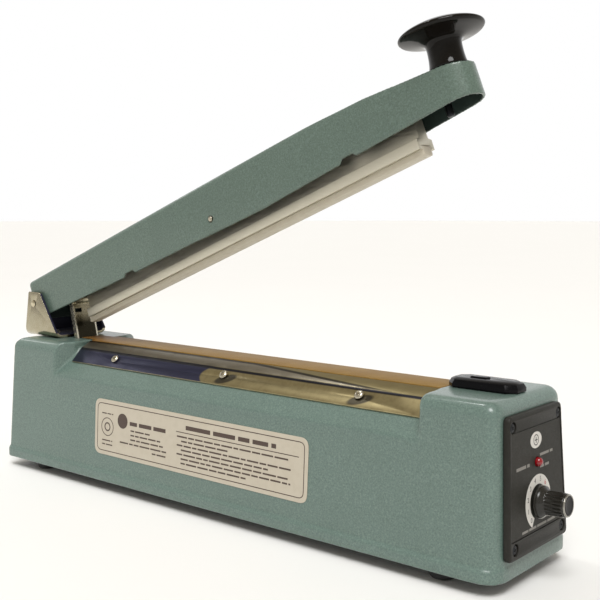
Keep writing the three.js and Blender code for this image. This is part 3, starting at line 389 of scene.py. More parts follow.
def loose_copy(node):
    """A copy of a CAD node's mesh with its flat faces merged, as an object that isn't a piece yet."""
    mesh = NODES[node].data.copy()
    mesh.name = node
    shape = bmesh.new()
    shape.from_mesh(mesh)
    bmesh.ops.remove_doubles(shape, verts=shape.verts, dist=1e-6)
    bmesh.ops.dissolve_limit(shape, angle_limit=math.radians(0.8), verts=shape.verts, edges=shape.edges)
    bmesh.ops.recalc_face_normals(shape, faces=shape.faces)
    for face in shape.faces:
        face.smooth = False
    shape.to_mesh(mesh)
    shape.free()
    thing = bpy.data.objects.new(node + "_form", mesh)
    bpy.context.scene.collection.objects.link(thing)
    return thing


def dressed(node, bevel_mm, segments, material=None):
    """The CAD node again with its hard edges broken, shown in its place."""
    form = loose_copy(node)
    edge = form.modifiers.new("edge", "BEVEL")
    edge.width = bevel_mm * MM
    edge.segments = segments
    edge.limit_method = "ANGLE"
    edge.angle_limit = math.radians(32)
    edge.use_clamp_overlap = True
    applied(form)
    mesh = form.data
    bpy.data.objects.remove(form)
    shown = piece(node + "_form", mesh, [node], material)
    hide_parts(node)
    return shown


def lined(shown, material, start, end):
    """Gives another material to the faces of a hollow piece that look towards a line inside it."""
    mesh = shown.data
    mesh.materials.append(material)
    count = len(mesh.polygons)
    centres = np.empty(count * 3)
    normals = np.empty(count * 3)
    mesh.polygons.foreach_get("center", centres)
    mesh.polygons.foreach_get("normal", normals)
    centres = centres.reshape(-1, 3) - np.array(start)
    line = np.array(end - start)
    along = np.clip(centres @ line / (line @ line), 0, 1)
    away = centres - along[:, None] * line
    inside = (away * normals.reshape(-1, 3)).sum(axis=1) < 0
    mesh.polygons.foreach_set("material_index", inside.astype(np.int32))
    mesh.update()


def finished_mesh(shape, name):
    """A bmesh as a new mesh, with its faces pointing out."""
    bmesh.ops.recalc_face_normals(shape, faces=shape.faces)
    mesh = bpy.data.meshes.new(name)
    shape.to_mesh(mesh)
    shape.free()
    return mesh


def spread(node, axis):
    """A CAD node's middle line along an axis: (its point at zero, lowest and highest distance along)."""
    points = np.array([vertex.co for vertex in NODES[node].data.vertices])
    axis = axis.normalized()
    side = axis.orthogonal().normalized()
    other = axis.cross(side)
    centre = Vector()
    for direction in (side, other):
        reach = points @ np.array(direction)
        centre += direction * float(reach.min() + reach.max()) / 2
    reach = points @ np.array(axis)
    return centre, float(reach.min()), float(reach.max())


def turned_mesh(profile, segments=48, name="turned"):
    """A profile of (radius, height) in millimetres turned about Z; points on the axis close it."""
    shape = bmesh.new()
    rings = []
    for radius, height in profile:
        if radius < 1e-6:
            rings.append([shape.verts.new((0, 0, height * MM))])
            continue
        ring = []
        for i in range(segments):
            angle = 2 * math.pi * i / segments
            x = radius * math.cos(angle) * MM
            y = radius * math.sin(angle) * MM
            ring.append(shape.verts.new((x, y, height * MM)))
        rings.append(ring)
    closed = len(rings[0]) > 1
    pairs = list(zip(rings, rings[1:] + rings[:1])) if closed else list(zip(rings, rings[1:]))
    for low, high in pairs:
        for i in range(segments):
            j = (i + 1) % segments
            corners = [low[i % len(low)], low[j % len(low)], high[j % len(high)], high[i % len(high)]]
            unique = list(dict.fromkeys(corners))
            if len(unique) > 2:
                shape.faces.new(unique)
    return finished_mesh(shape, name)


def softened(profile, radius, steps=3):
    """A profile with its inner corners rounded to about that radius, in millimetres."""
    points = [Vector(point) for point in profile]
    result = [tuple(points[0])]
    for before, corner, after in zip(points, points[1:], points[2:]):
        a = before - corner
        b = after - corner
        reach = min(radius, a.length * 0.45, b.length * 0.45)
        start = corner + a.normalized() * reach
        end = corner + b.normalized() * reach
        for i in range(steps + 1):
            t = i / steps
            point = start * (1 - t) ** 2 + corner * 2 * t * (1 - t) + end * t ** 2
            result.append(tuple(point))
    result.append(tuple(points[-1]))
    return result


def placed(mesh, origin, axis, spin=0.0):
    """Moves a mesh made about Z so that Z lies along the axis at the origin."""
    turn = axis.to_track_quat("Z", "Y").to_matrix().to_4x4()
    mesh.transform(Matrix.Translation(origin) @ turn @ Matrix.Rotation(spin, 4, "Z"))
    return mesh


def turned(node, axis, profile, segments=48, spin=0.0, cutters=(), material=None, sharp=35.0):
    """Shows a turned piece in place of a CAD node. Heights count down from its far end along axis."""
    centre, _, top = spread(node, axis)
    mesh = turned_mesh(profile, segments, node)
    if cutters:
        mesh = carved(mesh, cutters)
    placed(mesh, centre + axis.normalized() * top, axis, spin)
    shown = piece(node + "_turned", mesh, [node], material, sharp=sharp)
    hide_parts(node)
    return shown


def carved(mesh, cutters):
    """A mesh with others cut from it."""
    body = bpy.data.objects.new("body", mesh)
    bpy.context.scene.collection.objects.link(body)
    tools = []
    for cutter in cutters:
        tool = bpy.data.objects.new("tool", cutter)
        bpy.context.scene.collection.objects.link(tool)
        tools.append(tool)
        step = body.modifiers.new("step", "BOOLEAN")
        step.operation = "DIFFERENCE"
        step.solver = "EXACT"
        step.object = tool
    applied(body)
    result = body.data
    for thing in [body, *tools]:
        bpy.data.objects.remove(thing)
    return result


def tapered_block(size, taper, centre):
    """A block in millimetres whose lower end is smaller by the taper, for cutting a recess."""
    shape = bmesh.new()
    length, width, height = size
    rows = []
    for z, scale in ((0, taper), (height, 1)):
        row = []
        for x, y in ((-1, -1), (1, -1), (1, 1), (-1, 1)):
            place = Vector((x * length * scale / 2, y * width * scale / 2, z)) + Vector(centre)
            row.append(shape.verts.new(place * MM))
        rows.append(row)
    shape.faces.new(rows[0][::-1])
    shape.faces.new(rows[1])
    for i in range(4):
        j = (i + 1) % 4
        shape.faces.new((rows[0][i], rows[0][j], rows[1][j], rows[1][i]))
    return finished_mesh(shape, "block")


def extruded_mesh(outline, depth, name="extruded"):
    """An outline of (x, y) in metres, thickened upwards by depth in metres."""
    shape = bmesh.new()
    low = [shape.verts.new((x, y, 0)) for x, y in outline]
    high = [shape.verts.new((x, y, depth)) for x, y in outline]
    shape.faces.new(low[::-1])
    shape.faces.new(high)
    for i in range(len(outline)):
        j = (i + 1) % len(outline)
        shape.faces.new((low[i], low[j], high[j], high[i]))
    return finished_mesh(shape, name)


def tube_mesh(points, radius, sides=10, name="tube"):
    """A round tube with closed ends through the points."""
    shape = bmesh.new()
    points = [Vector(p) for p in points]
    normal = (points[1] - points[0]).orthogonal().normalized()
    rings = []
    for i, point in enumerate(points):
        ahead = points[min(i + 1, len(points) - 1)] - points[max(i - 1, 0)]
        ahead.normalize()
        normal = (normal - ahead * normal.dot(ahead)).normalized()
        other = ahead.cross(normal)
        ring = []
        for k in range(sides):
            angle = 2 * math.pi * k / sides
            spoke = normal * math.cos(angle) + other * math.sin(angle)
            ring.append(shape.verts.new(point + spoke * radius))
        rings.append(ring)
    for low, high in zip(rings, rings[1:]):
        for k in range(sides):
            m = (k + 1) % sides
            shape.faces.new((low[k], low[m], high[m], high[k]))
    shape.faces.new(rings[0][::-1])
    shape.faces.new(rings[-1])
    return finished_mesh(shape, name)


def rounded_outline(corners, radius, steps=6):
    """A polygon in metres with its corners rounded."""
    outline = []
    count = len(corners)
    for i in range(count):
        corner = Vector(corners[i])
        a = (Vector(corners[i - 1]) - corner).normalized()
        b = (Vector(corners[(i + 1) % count]) - corner).normalized()
        reach = radius / math.tan(a.angle(b) / 2)
        start = corner + a * reach
        end = corner + b * reach
        for k in range(steps + 1):
            t = k / steps
            outline.append(tuple(start * (1 - t) ** 2 + corner * 2 * t * (1 - t) + end * t ** 2))
    return outline


# ---------------------------------------------------------------- castings
def cast(node, voxel_mm, soften, keep, strong=(), crisp_below=None):
    """A casting: the CAD solid remeshed fine and smoothed, so that every edge is worn round.
    strong lists (start, end, reach, steps) where a corner is rounder than the rest, and below
    the height crisp_below only one smoothing step is made."""
    form = loose_copy(node)
    grid = form.modifiers.new("grid", "REMESH")
    grid.mode = "VOXEL"
    grid.voxel_size = voxel_mm * MM
    grid.adaptivity = 0
    applied(form)
    coords = np.array([v.co for v in form.data.vertices])
    for label, (start, end, reach, steps) in enumerate(strong):
        start, end = np.array(start), np.array(end)
        line = end - start
        along = np.clip((coords - start) @ line / (line @ line), 0, 1)
        away = np.linalg.norm(coords - start - along[:, None] * line, axis=1)
        weight = np.clip(1.6 * (1 - away / reach), 0, 1)
        group = form.vertex_groups.new(name=f"round_{label}")
        for index in np.nonzero(weight > 0.01)[0]:
            group.add([int(index)], float(weight[index]), "REPLACE")
        smooth = form.modifiers.new("round", "SMOOTH")
        smooth.factor = 0.5
        smooth.iterations = steps
        smooth.vertex_group = group.name
    smooth = form.modifiers.new("settle", "SMOOTH")
    smooth.factor = 0.5
    smooth.iterations = 1
    smooth = form.modifiers.new("soften", "SMOOTH")
    smooth.factor = 0.5
    smooth.iterations = soften - 1
    if crisp_below is not None:
        group = form.vertex_groups.new(name="upper")
        upper = np.nonzero(coords[:, 2] > crisp_below)[0]
        group.add([int(index) for index in upper], 1.0, "REPLACE")
        smooth.vertex_group = group.name
    thin = form.modifiers.new("thin", "DECIMATE")
    thin.ratio = keep
    applied(form)
    mesh = form.data
    mesh.name = node
    bpy.data.objects.remove(form)
    shown = piece(node + "_casting", mesh, [node], sharp=60)
    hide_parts(node)
    return shown


# The inner corners where the deck meets the end blocks are rounder than the rest.
base_low, base_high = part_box("base_housing")
DECK_FRONT = plate_high.x + 3 * MM
DECK_REAR = plate_low.x - 3 * MM
WALL_Y = 41.5 * MM
DECK_EDGE_Y = 26 * MM
CHAMFER_FOOT_Z = base_high.z - 22 * MM
deep_corners = []
for side in (-1, 1):
    for x, lean, reach, steps in ((DECK_FRONT, 1, 11, 40), (DECK_REAR, -1, 8, 10)):
        low_end = (x + lean * 2 * MM, side * WALL_Y, CHAMFER_FOOT_Z)
        high_end = (x + lean * 1 * MM, side * DECK_EDGE_Y, base_high.z)
        deep_corners.append((low_end, high_end, reach * MM, steps))
FLANGE_TOP = base_low.z + 7 * MM
cast("base_housing", 0.9, 3, 0.11, deep_corners, FLANGE_TOP + 3 * MM)
arm_casting = cast("arm_shell", 0.8, 3, 0.14)
ARM_HOLLOW = (8 * MM, 386 * MM)
# The faces inside the arm's hollow take the dark painted shade.
lined(arm_casting, ARM_INSIDE_SHADE, PIVOT + ALONG_ARM * ARM_HOLLOW[0], PIVOT + ALONG_ARM * ARM_HOLLOW[1])

# ---------------------------------------------------------------- sheet metal, cloth and mouldings
for name, bevel_mm, segments in (
    ("bottom_cover", 0.3, 2), ("insulating_strip", 0.4, 2), ("heating_element", 0.05, 1),
    ("ptfe_cover", 0.12, 2), ("element_clamp_rear", 0.3, 2), ("element_clamp_front", 0.3, 2),
    ("clamp_plate_near", 0.22, 2), ("clamp_plate_far", 0.22, 2),
    ("switch_bezel", 1.1, 4), ("switch_plunger", 0.5, 3),
    ("microswitch", 0.5, 2), ("switch_bracket", 0.3, 2), ("transformer_core", 0.4, 2),
    ("transformer_coil", 2.2, 5), ("control_panel", 0.45, 3), ("panel_label", 0.08, 1),
    ("timer_circuit_board", 0.15, 1), ("timer_potentiometer", 0.3, 2), ("side_label", 0.08, 1),
    ("press_bar", 0.4, 3), ("silicone_strip", 0.5, 3), ("cable_grommet", 0.5, 3),
    ("knob_stud", 0.3, 2), ("element_wire_rear", 0.0, 1), ("element_wire_front", 0.0, 1),
):
    if bevel_mm:
        dressed(name, bevel_mm, segments)
bracket = dressed("hinge_bracket", 0.5, 3)
bracket_low, bracket_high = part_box("hinge_bracket")
# The bracket's inner faces take the painted shade and dark reflection.
lined(bracket, BRACKET_INSIDE_SHADE, Vector((bracket_low.x + 5 * MM, 0, PIVOT.z)),
      Vector((bracket_high.x, 0, PIVOT.z)))
dressed("spring_link", 0.35, 3, material=PLATED_STRAP)


# ---------------------------------------------------------------- turned pieces
def cross_recess(reach, width, depth, top):
    """Two crossed tapering blocks that cut a screw's drive recess, in millimetres."""
    first = tapered_block((reach * 2, width, depth + 1), 0.55, (0, 0, top - depth))
    second = tapered_block((width, reach * 2, depth + 1), 0.55, (0, 0, top - depth))
    return [first, second]


def screw(node, axis, head_radius, head_height, shank, length, spin=0.4, crossed=True):
    """A pan-head screw: domed head, cross recess, chamfered shank."""
    profile = softened([
        (0, -head_height - length), (shank * 0.6, -head_height - length),
        (shank, -head_height - length + shank * 0.5), (shank, -head_height),
        (head_radius * 0.94, -head_height), (head_radius, -head_height * 0.82),
        (head_radius * 0.97, -head_height * 0.5), (head_radius * 0.72, -head_height * 0.14),
        (head_radius * 0.36, -head_height * 0.02), (0, 0),
    ], head_height * 0.2)
    cutters = cross_recess(head_radius * 0.62, head_radius * 0.26, head_height * 0.6, 0) if crossed else ()
    return turned(node, axis, profile, 40, spin, cutters, sharp=40)


for side_name, side in SIDES:
    outward = Vector((0, side, 1)).normalized()
    for i in range(3):
        screw(f"clamp_screw_{side_name}_{i + 1}", outward, 3, 1.8, 1.5, 8, 0.5 + 0.9 * i)
    screw(f"bracket_screw_{side_name}", UP, 4, 2.4, 1.6, 9, 0.7)
    for end in ("rear", "front"):
        screw(f"foot_screw_{end}_{side_name}", -UP, 3.8, 2.2, 1.6, 18, crossed=False)
        foot_profile = softened([
            (2.2, 0), (7.7, 0), (8.5, -0.8), (8.3, -3.4), (7.7, -6.3), (6.7, -7.3),
            (4.4, -7.3), (4.4, -3.3), (2.2, -3.3), (2.2, 0),
        ], 0.7)
        turned(f"foot_{end}_{side_name}", UP, foot_profile[:-1], 48)
for i in range(4):
    screw(f"panel_screw_{i + 1}", DIAL_AXIS, 2.9, 1.2, 1.5, 9, 0.3 + i)

turned("hinge_pin", ACROSS, softened([
    (0, 0), (1.8, -0.2), (2.8, -0.9), (2, -0.9), (2, -49.5), (2.8, -49.5), (1.8, -50.2), (0, -50.4),
], 0.3), material=PIN_HEAD)
for name, radius in (("bar_pin", 1.7), ("link_pin", 1.5)):
    _, low, high = spread(name, ACROSS)
    length = (high - low) / MM
    turned(name, ACROSS, softened([
        (0, 0), (radius * 0.8, 0), (radius, -0.3), (radius, 0.3 - length),
        (radius * 0.8, -length), (0, -length)], 0.15))
_, low, high = spread("striker", ABOVE_ARM)
length = (high - low) / MM
turned("striker", ABOVE_ARM, softened([
    (0, 0), (2.2, 0), (2.2, 0.8 - length), (1.6, 0.1 - length), (0, -length)], 0.3))

NOSE_DROP = 7.8
NOSE_LENGTH = 75
KNOB_LEAN = math.atan2(NOSE_DROP, NOSE_LENGTH)
knob_axis = (ABOVE_ARM * math.cos(KNOB_LEAN) + ALONG_ARM * math.sin(KNOB_LEAN)).normalized()
turned("handle_knob", knob_axis, softened([
    (0, -14), (3.2, -14), (3.2, -27.7), (10.6, -27.7), (11, -26.8), (10.4, -24.2), (10, -20.5),
    (9.9, -16), (10.15, -13.4), (10.9, -12), (13.2, -10.85), (17, -9.85), (21, -9), (23.6, -8.3),
    (24.6, -7.2), (24.4, -6.2), (23.2, -5.3), (19, -3.4), (14.6, -2), (10, -1), (5, -0.3), (0, 0),
], 1.5, 5), 96, sharp=50)

turned("timer_knob_cap", DIAL_AXIS, softened([
    (0, -0.7), (5.1, -0.7), (5.1, -0.1), (4.9, 0.02), (4.4, 0), (3, -0.12), (0, -0.18)], 0.15), 64,
    material=MATERIALS["black_plastic"])
cap_centre, _, cap_top = spread("timer_knob_cap", DIAL_AXIS)
rim = turned_mesh(softened([
    (5.15, -0.7), (6.1, -1), (6.1, -0.5), (5.75, -0.05), (5.35, 0), (5.15, -0.15), (5.15, -0.7)],
    0.1)[:-1], 64, "knob_rim")
piece("knob_rim", placed(rim, cap_centre + DIAL_AXIS * cap_top, DIAL_AXIS), ["timer_knob_cap"], KNOB_RIM)
turned("indicator_lamp", DIAL_AXIS, softened([
    (0, -12.7), (2.5, -12.7), (2.5, -2.6), (2.35, -1.6), (1.85, -0.75), (1.1, -0.2), (0, 0)], 0.7), 40)


def ribbed_knob(node, axis, rows, ribs):
    """A turned knob whose rows are (height, radius, rib depth) in millimetres."""
    centre, _, top = spread(node, axis)
    per_rib = 8
    count = ribs * per_rib
    shape = bmesh.new()
    rings = []
    for height, radius, rib in rows:
        ring = []
        for i in range(count):
            angle = 2 * math.pi * i / count
            groove = (0.5 - 0.5 * math.cos(angle * ribs)) ** 1.6
            r = (radius - rib * groove) * MM
            ring.append(shape.verts.new((r * math.cos(angle), r * math.sin(angle), height * MM)))
        rings.append(ring)
    for low, high in zip(rings, rings[1:]):
        for i in range(count):
            j = (i + 1) % count
            shape.faces.new((low[i], low[j], high[j], high[i]))
    shape.faces.new(rings[0][::-1])
    shape.faces.new(rings[-1])
    mesh = finished_mesh(shape, node)
    placed(mesh, centre + axis * top, axis)
    shown = piece(node + "_grip", mesh, [node], KNOB_PLASTIC, sharp=50)
    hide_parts(node)
    return shown


DIAL_RIBS = 20
ribbed_knob("timer_knob", DIAL_AXIS, [
    (-15.6, 8.3, 0), (-15.45, 8.55, 0), (-15.0, 8.75, 0), (-13.6, 8.7, 0), (-12.9, 8.4, 0), (-12.2, 7.8, 0),
    (-11.5, 7.1, 0), (-11.0, 6.65, 0), (-10.7, 6.5, 0.1), (-10.2, 6.48, 0.5), (-1.6, 6.35, 0.5),
    (-1.25, 6.32, 0.2), (-1.05, 6.25, 0), (-0.35, 6.2, 0), (-0.1, 6.05, 0), (0, 5.8, 0),
], DIAL_RIBS)


# ---------------------------------------------------------------- springs and wires
def spring(node, axis, turns, wire_mm, coil_mm):
    """A coil spring with closed ends, over the CAD spring's length."""
    centre, low, high = spread(node, axis)
    points = []
    steps = int(turns * 28)
    for i in range(steps + 1):
        t = i / steps
        rise = min(max((t - 0.07) / 0.86, 0), 1)
        angle = 2 * math.pi * turns * t
        reach = (high - low) / MM - 2 * wire_mm
        points.append((coil_mm * math.cos(angle) * MM, coil_mm * math.sin(angle) * MM,
                       (wire_mm + reach * rise) * MM))
    mesh = tube_mesh(points, wire_mm * MM, 12, node)
    placed(mesh, centre + axis.normalized() * low, axis)
    shown = piece(node + "_coil", mesh, [node])
    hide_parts(node)
    return shown


return_coil = spring("return_spring", UP, 7, 0.8, 5.5)
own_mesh(return_coil)
spring("bar_spring_rear", ABOVE_ARM, 3, 0.7, 3.4)
spring("bar_spring_front", ABOVE_ARM, 3, 0.7, 3.4)


# ---------------------------------------------------------------- printed surfaces
def printed(name, shapes, to_row, depth_mm, nodes, material):
    """Flat ink shapes, each an outline in millimetres, raised a hair above the surface they are on."""
    merged = bmesh.new()
    for outline in shapes:
        mesh = extruded_mesh([(x * MM, y * MM) for x, y in outline], depth_mm * MM, name)
        merged.from_mesh(mesh)
        bpy.data.meshes.remove(mesh)
    mesh = finished_mesh(merged, name)
    mesh.transform(to_row)
    return piece(name, mesh, nodes, material)


def frame_matrix(origin, right, up, out):
    turn = Matrix((right, up, out)).transposed().to_4x4()
    return Matrix.Translation(origin) @ turn


def bar_shape(x, y, width, height):
    return [(x, y), (x + width, y), (x + width, y + height), (x, y + height)]


def ring_shapes(x, y, inner, outer, start=0.0, end=360.0, steps=48):
    """A ring, or part of one, as short blocks set end to end."""
    shapes = []
    for i in range(steps):
        a = math.radians(start + (end - start) * i / steps)
        b = math.radians(start + (end - start) * (i + 1) / steps)
        corners = ((inner, a), (outer, a), (outer, b), (inner, b))
        shapes.append([(x + reach * math.cos(turn), y + reach * math.sin(turn)) for reach, turn in corners])
    return shapes


def disc_shape(x, y, radius):
    turn = 2 * math.pi / 40
    return [(x + radius * math.cos(turn * i), y + radius * math.sin(turn * i)) for i in range(40)]


def word_marks(dice, x, y, width, height, letter):
    """A line of plain solid blocks, each as long as a word, with no letters in it."""
    shapes = []
    place = x
    while place < x + width - letter:
        reach = min(letter * dice.randint(3, 8), x + width - place)
        shapes.append(bar_shape(place, y, reach, height * 0.6))
        place += reach + letter * 0.8
    return shapes


dice = random.Random(7)
label_low, label_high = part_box("side_label")
DRAFT = math.atan(0.05)
LABEL_OUT = Vector((0, -math.cos(DRAFT), math.sin(DRAFT)))
LABEL_UP = Vector((0, math.sin(DRAFT), math.cos(DRAFT)))
_, _, label_face = spread("side_label", LABEL_OUT)
label_middle = (label_low + label_high) / 2
label_origin = label_middle + LABEL_OUT * (label_face + 0.02 * MM - label_middle.dot(LABEL_OUT))
to_label = frame_matrix(label_origin, Vector((1, 0, 0)), LABEL_UP, LABEL_OUT)
half_u = (label_high.x - label_low.x) / MM / 2
half_v = (label_high.z - label_low.z) / MM / 2


def label_outline(inset, radius):
    u = half_u - inset
    v = half_v - inset
    return rounded_outline([(-u, -v), (u, -v), (u, v), (-u, v)], radius)


def border_shapes(inset, thickness, radius):
    """A rounded rectangular line inside the label's edge."""
    shapes = []
    outer = label_outline(inset, radius)
    inner = label_outline(inset + thickness, radius - thickness)
    for i in range(len(outer)):
        j = (i + 1) % len(outer)
        shapes.append([outer[i], outer[j], inner[j], inner[i]])
    return shapes


# Across the label, distances are counted from its left end; up it, from its middle.
LEFT = -half_u
SEAL_PLACE = (LEFT + 13.5, 0.5)
SMALL_ROWS = ((38, 20), (38, 30), (38, 33), (27, 47), (60, 14))
SMALL_ROW_STEP = 3.1
LONG_ROWS = ((84, 98), (88, 42), (84, 98), (88, 76), (84, 98), (88, 94), (88, 58))
LONG_ROW_STEP = 2.9
ink = border_shapes(2.6, 0.55, 4.2)
ink += ring_shapes(*SEAL_PLACE, 5.9, 6.5)
ink += ring_shapes(*SEAL_PLACE, 2.2, 3.2)
ink.append(disc_shape(LEFT + 29.5, 6.6, 5.2))
ink += word_marks(dice, LEFT + 7.5, 9.4, 12, 1.3, 1.0)
for height in (-9.6, -12.4):
    ink += word_marks(dice, LEFT + 8, height, 11, 1.4, 1.1)
ink += word_marks(dice, LEFT + 37, 4.6, 36, 4.4, 2.5)
for row, (start, width) in enumerate(SMALL_ROWS):
    ink += word_marks(dice, LEFT + start, 0.6 - row * SMALL_ROW_STEP, width, 1.7, 1.25)
ink += word_marks(dice, LEFT + 92, 9.6, 78, 4.6, 3.2)
ink.append(bar_shape(LEFT + 83, 7.2, 105, 0.55))
for row, (start, width) in enumerate(LONG_ROWS):
    ink += word_marks(dice, LEFT + start, 4.0 - row * LONG_ROW_STEP, width, 1.75, 1.35)
printed("label_print", ink, to_label, 0.03, ["side_label"], LABEL_INK)

# On the panel, distances are counted from the line through the dial and from the panel's middle.
dial_centre, _, dial_top = spread("timer_knob", DIAL_AXIS)
_, _, panel_face = spread("panel_label", DIAL_AXIS)
DIAL_W = -12.1
LAMP_W = 9.3
SCALE_INNER = 9.4
SCALE_OUTER = 14.6
SCALE_ARC = (238, -18)
EMBLEM = (-1, 21.2)
EMBLEM_RADIUS = 4.4
EMBLEM_STRETCH = 1.45
panel_origin = dial_centre + PANEL_UP * (-DIAL_W * MM) + DIAL_AXIS * (panel_face + 0.02 * MM)
to_panel = frame_matrix(panel_origin, ACROSS, PANEL_UP, DIAL_AXIS)
to_panel_top = frame_matrix(panel_origin + DIAL_AXIS * 0.05 * MM, ACROSS, PANEL_UP, DIAL_AXIS)
white = ring_shapes(0, DIAL_W, SCALE_INNER, SCALE_OUTER, *SCALE_ARC, 64)
emblem_disc = disc_shape(0, 0, EMBLEM_RADIUS)
white.append([(x * EMBLEM_STRETCH + EMBLEM[0], y + EMBLEM[1]) for x, y in emblem_disc])
printed("panel_print", white, to_panel, 0.03, ["panel_label"], PANEL_INK)
marks = word_marks(dice, -23.5, LAMP_W - 1, 14.5, 2.8, 1.5)
marks += word_marks(dice, 3, LAMP_W + 2.5, 15, 2.4, 1.5)
marks += word_marks(dice, 3, LAMP_W - 3.9, 11, 2.4, 1.5)
marks += word_marks(dice, -19, -25.7, 38, 2.2, 1.35)
printed("panel_words", marks, to_panel, 0.02, ["panel_label"], PANEL_MARKS)
dark = ring_shapes(*EMBLEM, 2.5, 3.0, steps=32)
dark.append(bar_shape(EMBLEM[0] - 0.3, EMBLEM[1] - 1.6, 0.6, 3.2))
dark.append(bar_shape(EMBLEM[0] - 1.6, EMBLEM[1] - 0.3, 3.2, 0.6))
printed("panel_symbol", dark, to_panel_top, 0.03, ["panel_label"], DIAL_INK)

DIGIT_SIZE = 3.7
FIRST_DIGIT_AT = 226
DIGIT_STEP = 30


def digit_mesh(text, x, y):
    curve = bpy.data.curves.new("digit", "FONT")
    curve.body = text
    curve.size = DIGIT_SIZE * MM
    curve.extrude = 0.015 * MM
    curve.align_x = "CENTER"
    curve.align_y = "CENTER"
    thing = bpy.data.objects.new("digit", curve)
    bpy.context.scene.collection.objects.link(thing)
    bpy.context.view_layer.update()
    mesh = bpy.data.meshes.new_from_object(thing)
    bpy.data.objects.remove(thing)
    mesh.transform(Matrix.Translation((x * MM, y * MM, 0.02 * MM)))
    return mesh


for name, digits, material in (("dial_digits", range(0, 6), DIAL_INK),
                               ("dial_digits_red", range(6, 9), RED_INK)):
    merged = bmesh.new()
    middle = (SCALE_INNER + SCALE_OUTER) / 2
    for digit in digits:
        angle = math.radians(FIRST_DIGIT_AT - DIGIT_STEP * digit)
        mesh = digit_mesh(str(digit), middle * math.cos(angle), DIAL_W + middle * math.sin(angle))
        merged.from_mesh(mesh)
        bpy.data.meshes.remove(mesh)
    mesh = bpy.data.meshes.new(name)
    merged.to_mesh(mesh)
    merged.free()
    mesh.transform(to_panel_top)
    piece(name, mesh, ["panel_label"], material)

# The pointer is a thin white line that follows the knob's side from its flared foot to its end.
POINTER_ANGLE = math.radians(248)
POINTER_WIDTH = 0.7 * MM
POINTER_START = -15.0 * MM
POINTER_LENGTH = 14.1 * MM
SIDE_HEIGHTS = (-15.0, -13.6, -12.9, -12.2, -11.5, -11.0, -10.6, 0)
SIDE_RADII = (8.8, 8.75, 8.45, 7.85, 7.15, 6.7, 6.55, 6.4)
radial = ACROSS * math.cos(POINTER_ANGLE) + PANEL_UP * math.sin(POINTER_ANGLE)
flat = bar_shape(-POINTER_WIDTH / 2, POINTER_START, POINTER_WIDTH, POINTER_LENGTH)
pointer = extruded_mesh(flat, 0.1 * MM, "pointer")
shape = bmesh.new()
shape.from_mesh(pointer)
long_edges = [edge for edge in shape.edges if edge.calc_length() > 5 * MM]
bmesh.ops.subdivide_edges(shape, edges=long_edges, cuts=27)
for vertex in shape.verts:
    vertex.co.z += (np.interp(vertex.co.y / MM, SIDE_HEIGHTS, SIDE_RADII) - 0.03) * MM
shape.to_mesh(pointer)
shape.free()
sideways = DIAL_AXIS.cross(radial)
pointer.transform(frame_matrix(dial_centre + DIAL_AXIS * dial_top, sideways, DIAL_AXIS, radial))
piece("dial_pointer", pointer, ["timer_knob"], PANEL_INK)

# ---------------------------------------------------------------- CAD nodes shown as they are
for name, node in NODES.items():
    if not node.hide_render:
        node.data.materials.clear()
        node.data.materials.append(MATERIALS[SLOT_OF[name]])
        node.data.shade_smooth()

# ---------------------------------------------------------------- studio
floor_material = Shader("floor_paper", (0.86, 0.86, 0.85), 0.75)
cloudy = floor_material.ramp(floor_material.noise(0.3, 3), 0.4, 0.7, 0, 0.25)
floor_material.blend(cloudy, (0.84, 0.84, 0.83))
floor_shape = bmesh.new()
bmesh.ops.create_circle(floor_shape, cap_ends=True, segments=96, radius=12)
floor_mesh = finished_mesh(floor_shape, "floor")
floor_mesh.materials.append(floor_material.material)
floor = bpy.data.objects.new("floor", floor_mesh)
floor.location.z = -0.0003
bpy.context.scene.collection.objects.link(floor)

world = bpy.data.worlds.new("studio")
world.use_nodes = True
bpy.context.scene.world = world
sky = world.node_tree
background = sky.nodes["Background"]
direction = sky.nodes.new("ShaderNodeTexCoord")
split = sky.nodes.new("ShaderNodeSeparateXYZ")
sky.links.new(direction.outputs["Generated"], split.inputs[0])


def sky_band(stops):
    """Colours by the height of the direction looked in, 0 level and 1 straight up."""
    band = sky.nodes.new("ShaderNodeValToRGB")
    sky.links.new(split.outputs["Z"], band.inputs["Fac"])
    ramp = band.color_ramp
    for position, colour in stops[1:-1]:
        ramp.elements.new(position).color = (*colour, 1)
    ramp.elements[0].color = (*stops[0][1], 1)
    ramp.elements[-1].color = (*stops[-1][1], 1)
    return band.outputs["Color"]


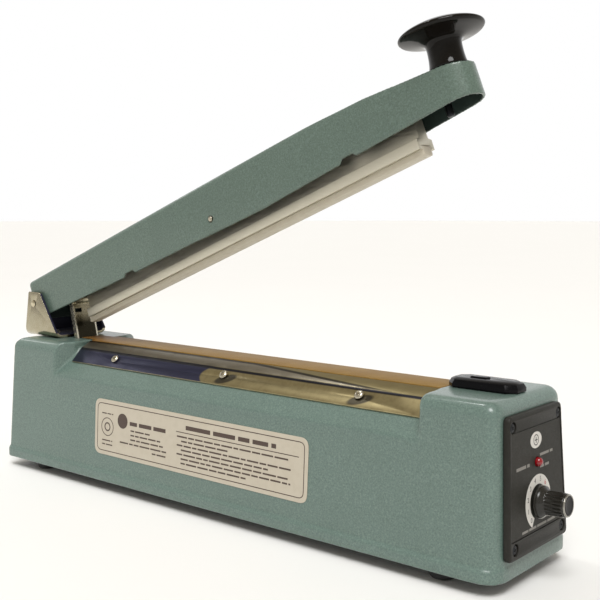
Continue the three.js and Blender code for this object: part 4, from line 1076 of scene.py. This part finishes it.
WHITE_PAPER = (1, 1, 1)
WARM_CEILING = (0.3, 0.26, 0.2)
BEHIND_OBJECT = (-0.64, 0.77, 0)
behind_object = sky_band(((0, WHITE_PAPER), (0.42, WHITE_PAPER), (0.66, (0.5, 0.46, 0.4)),
                          (1, WARM_CEILING)))
behind_camera = sky_band(((0, (0.5, 0.48, 0.45)), (0.3, (0.62, 0.6, 0.56)), (0.6, (0.45, 0.41, 0.35)),
                          (1, WARM_CEILING)))
facing = sky.nodes.new("ShaderNodeVectorMath")
facing.operation = "DOT_PRODUCT"
facing.inputs[1].default_value = BEHIND_OBJECT
sky.links.new(direction.outputs["Generated"], facing.inputs[0])
share = sky.nodes.new("ShaderNodeMapRange")
share.inputs["From Min"].default_value = 0.05
share.inputs["From Max"].default_value = 0.75
sky.links.new(facing.outputs["Value"], share.inputs["Value"])
both = sky.nodes.new("ShaderNodeMix")
both.data_type = "RGBA"
sky.links.new(share.outputs["Result"], both.inputs["Factor"])
sky.links.new(behind_camera, both.inputs["A"])
sky.links.new(behind_object, both.inputs["B"])
sky.links.new(both.outputs["Result"], background.inputs["Color"])


def add_light(name, kind, energy, place, aim, size):
    light = bpy.data.lights.new(name, kind)
    light.energy = energy
    if kind == "SUN":
        light.angle = size
    else:
        light.size = size
    thing = bpy.data.objects.new(name, light)
    bpy.context.scene.collection.objects.link(thing)
    thing.location = place
    thing.rotation_euler = (Vector(aim) - Vector(place)).to_track_quat("-Z", "Y").to_euler()
    return thing


add_light("key", "SUN", 2.5, (0.7, -0.87, 1.9), (0, 0, 0), math.radians(30))
add_light("glint_front", "AREA", 2.5, (-0.5, 0, 1.45), (0.17, -0.03, 0.1), 0.14)
add_light("glint_rear", "AREA", 0.35, (-1.4, 0, 0.95), (-0.19, -0.03, 0.1), 0.14)

CAMERA_PLACE = (0.43835, -0.4799, 0.20075)
CAMERA_DIP = 5.48
CAMERA_TURN = 39.85
camera = bpy.data.cameras.new("camera")
camera.lens = 59.6
camera.sensor_width = 36
camera_object = bpy.data.objects.new("camera", camera)
camera_object.location = CAMERA_PLACE
camera_object.rotation_euler = (math.radians(90 - CAMERA_DIP), 0, math.radians(CAMERA_TURN))
bpy.context.scene.collection.objects.link(camera_object)
bpy.context.scene.camera = camera_object
bpy.context.scene.view_settings.view_transform = "Standard"
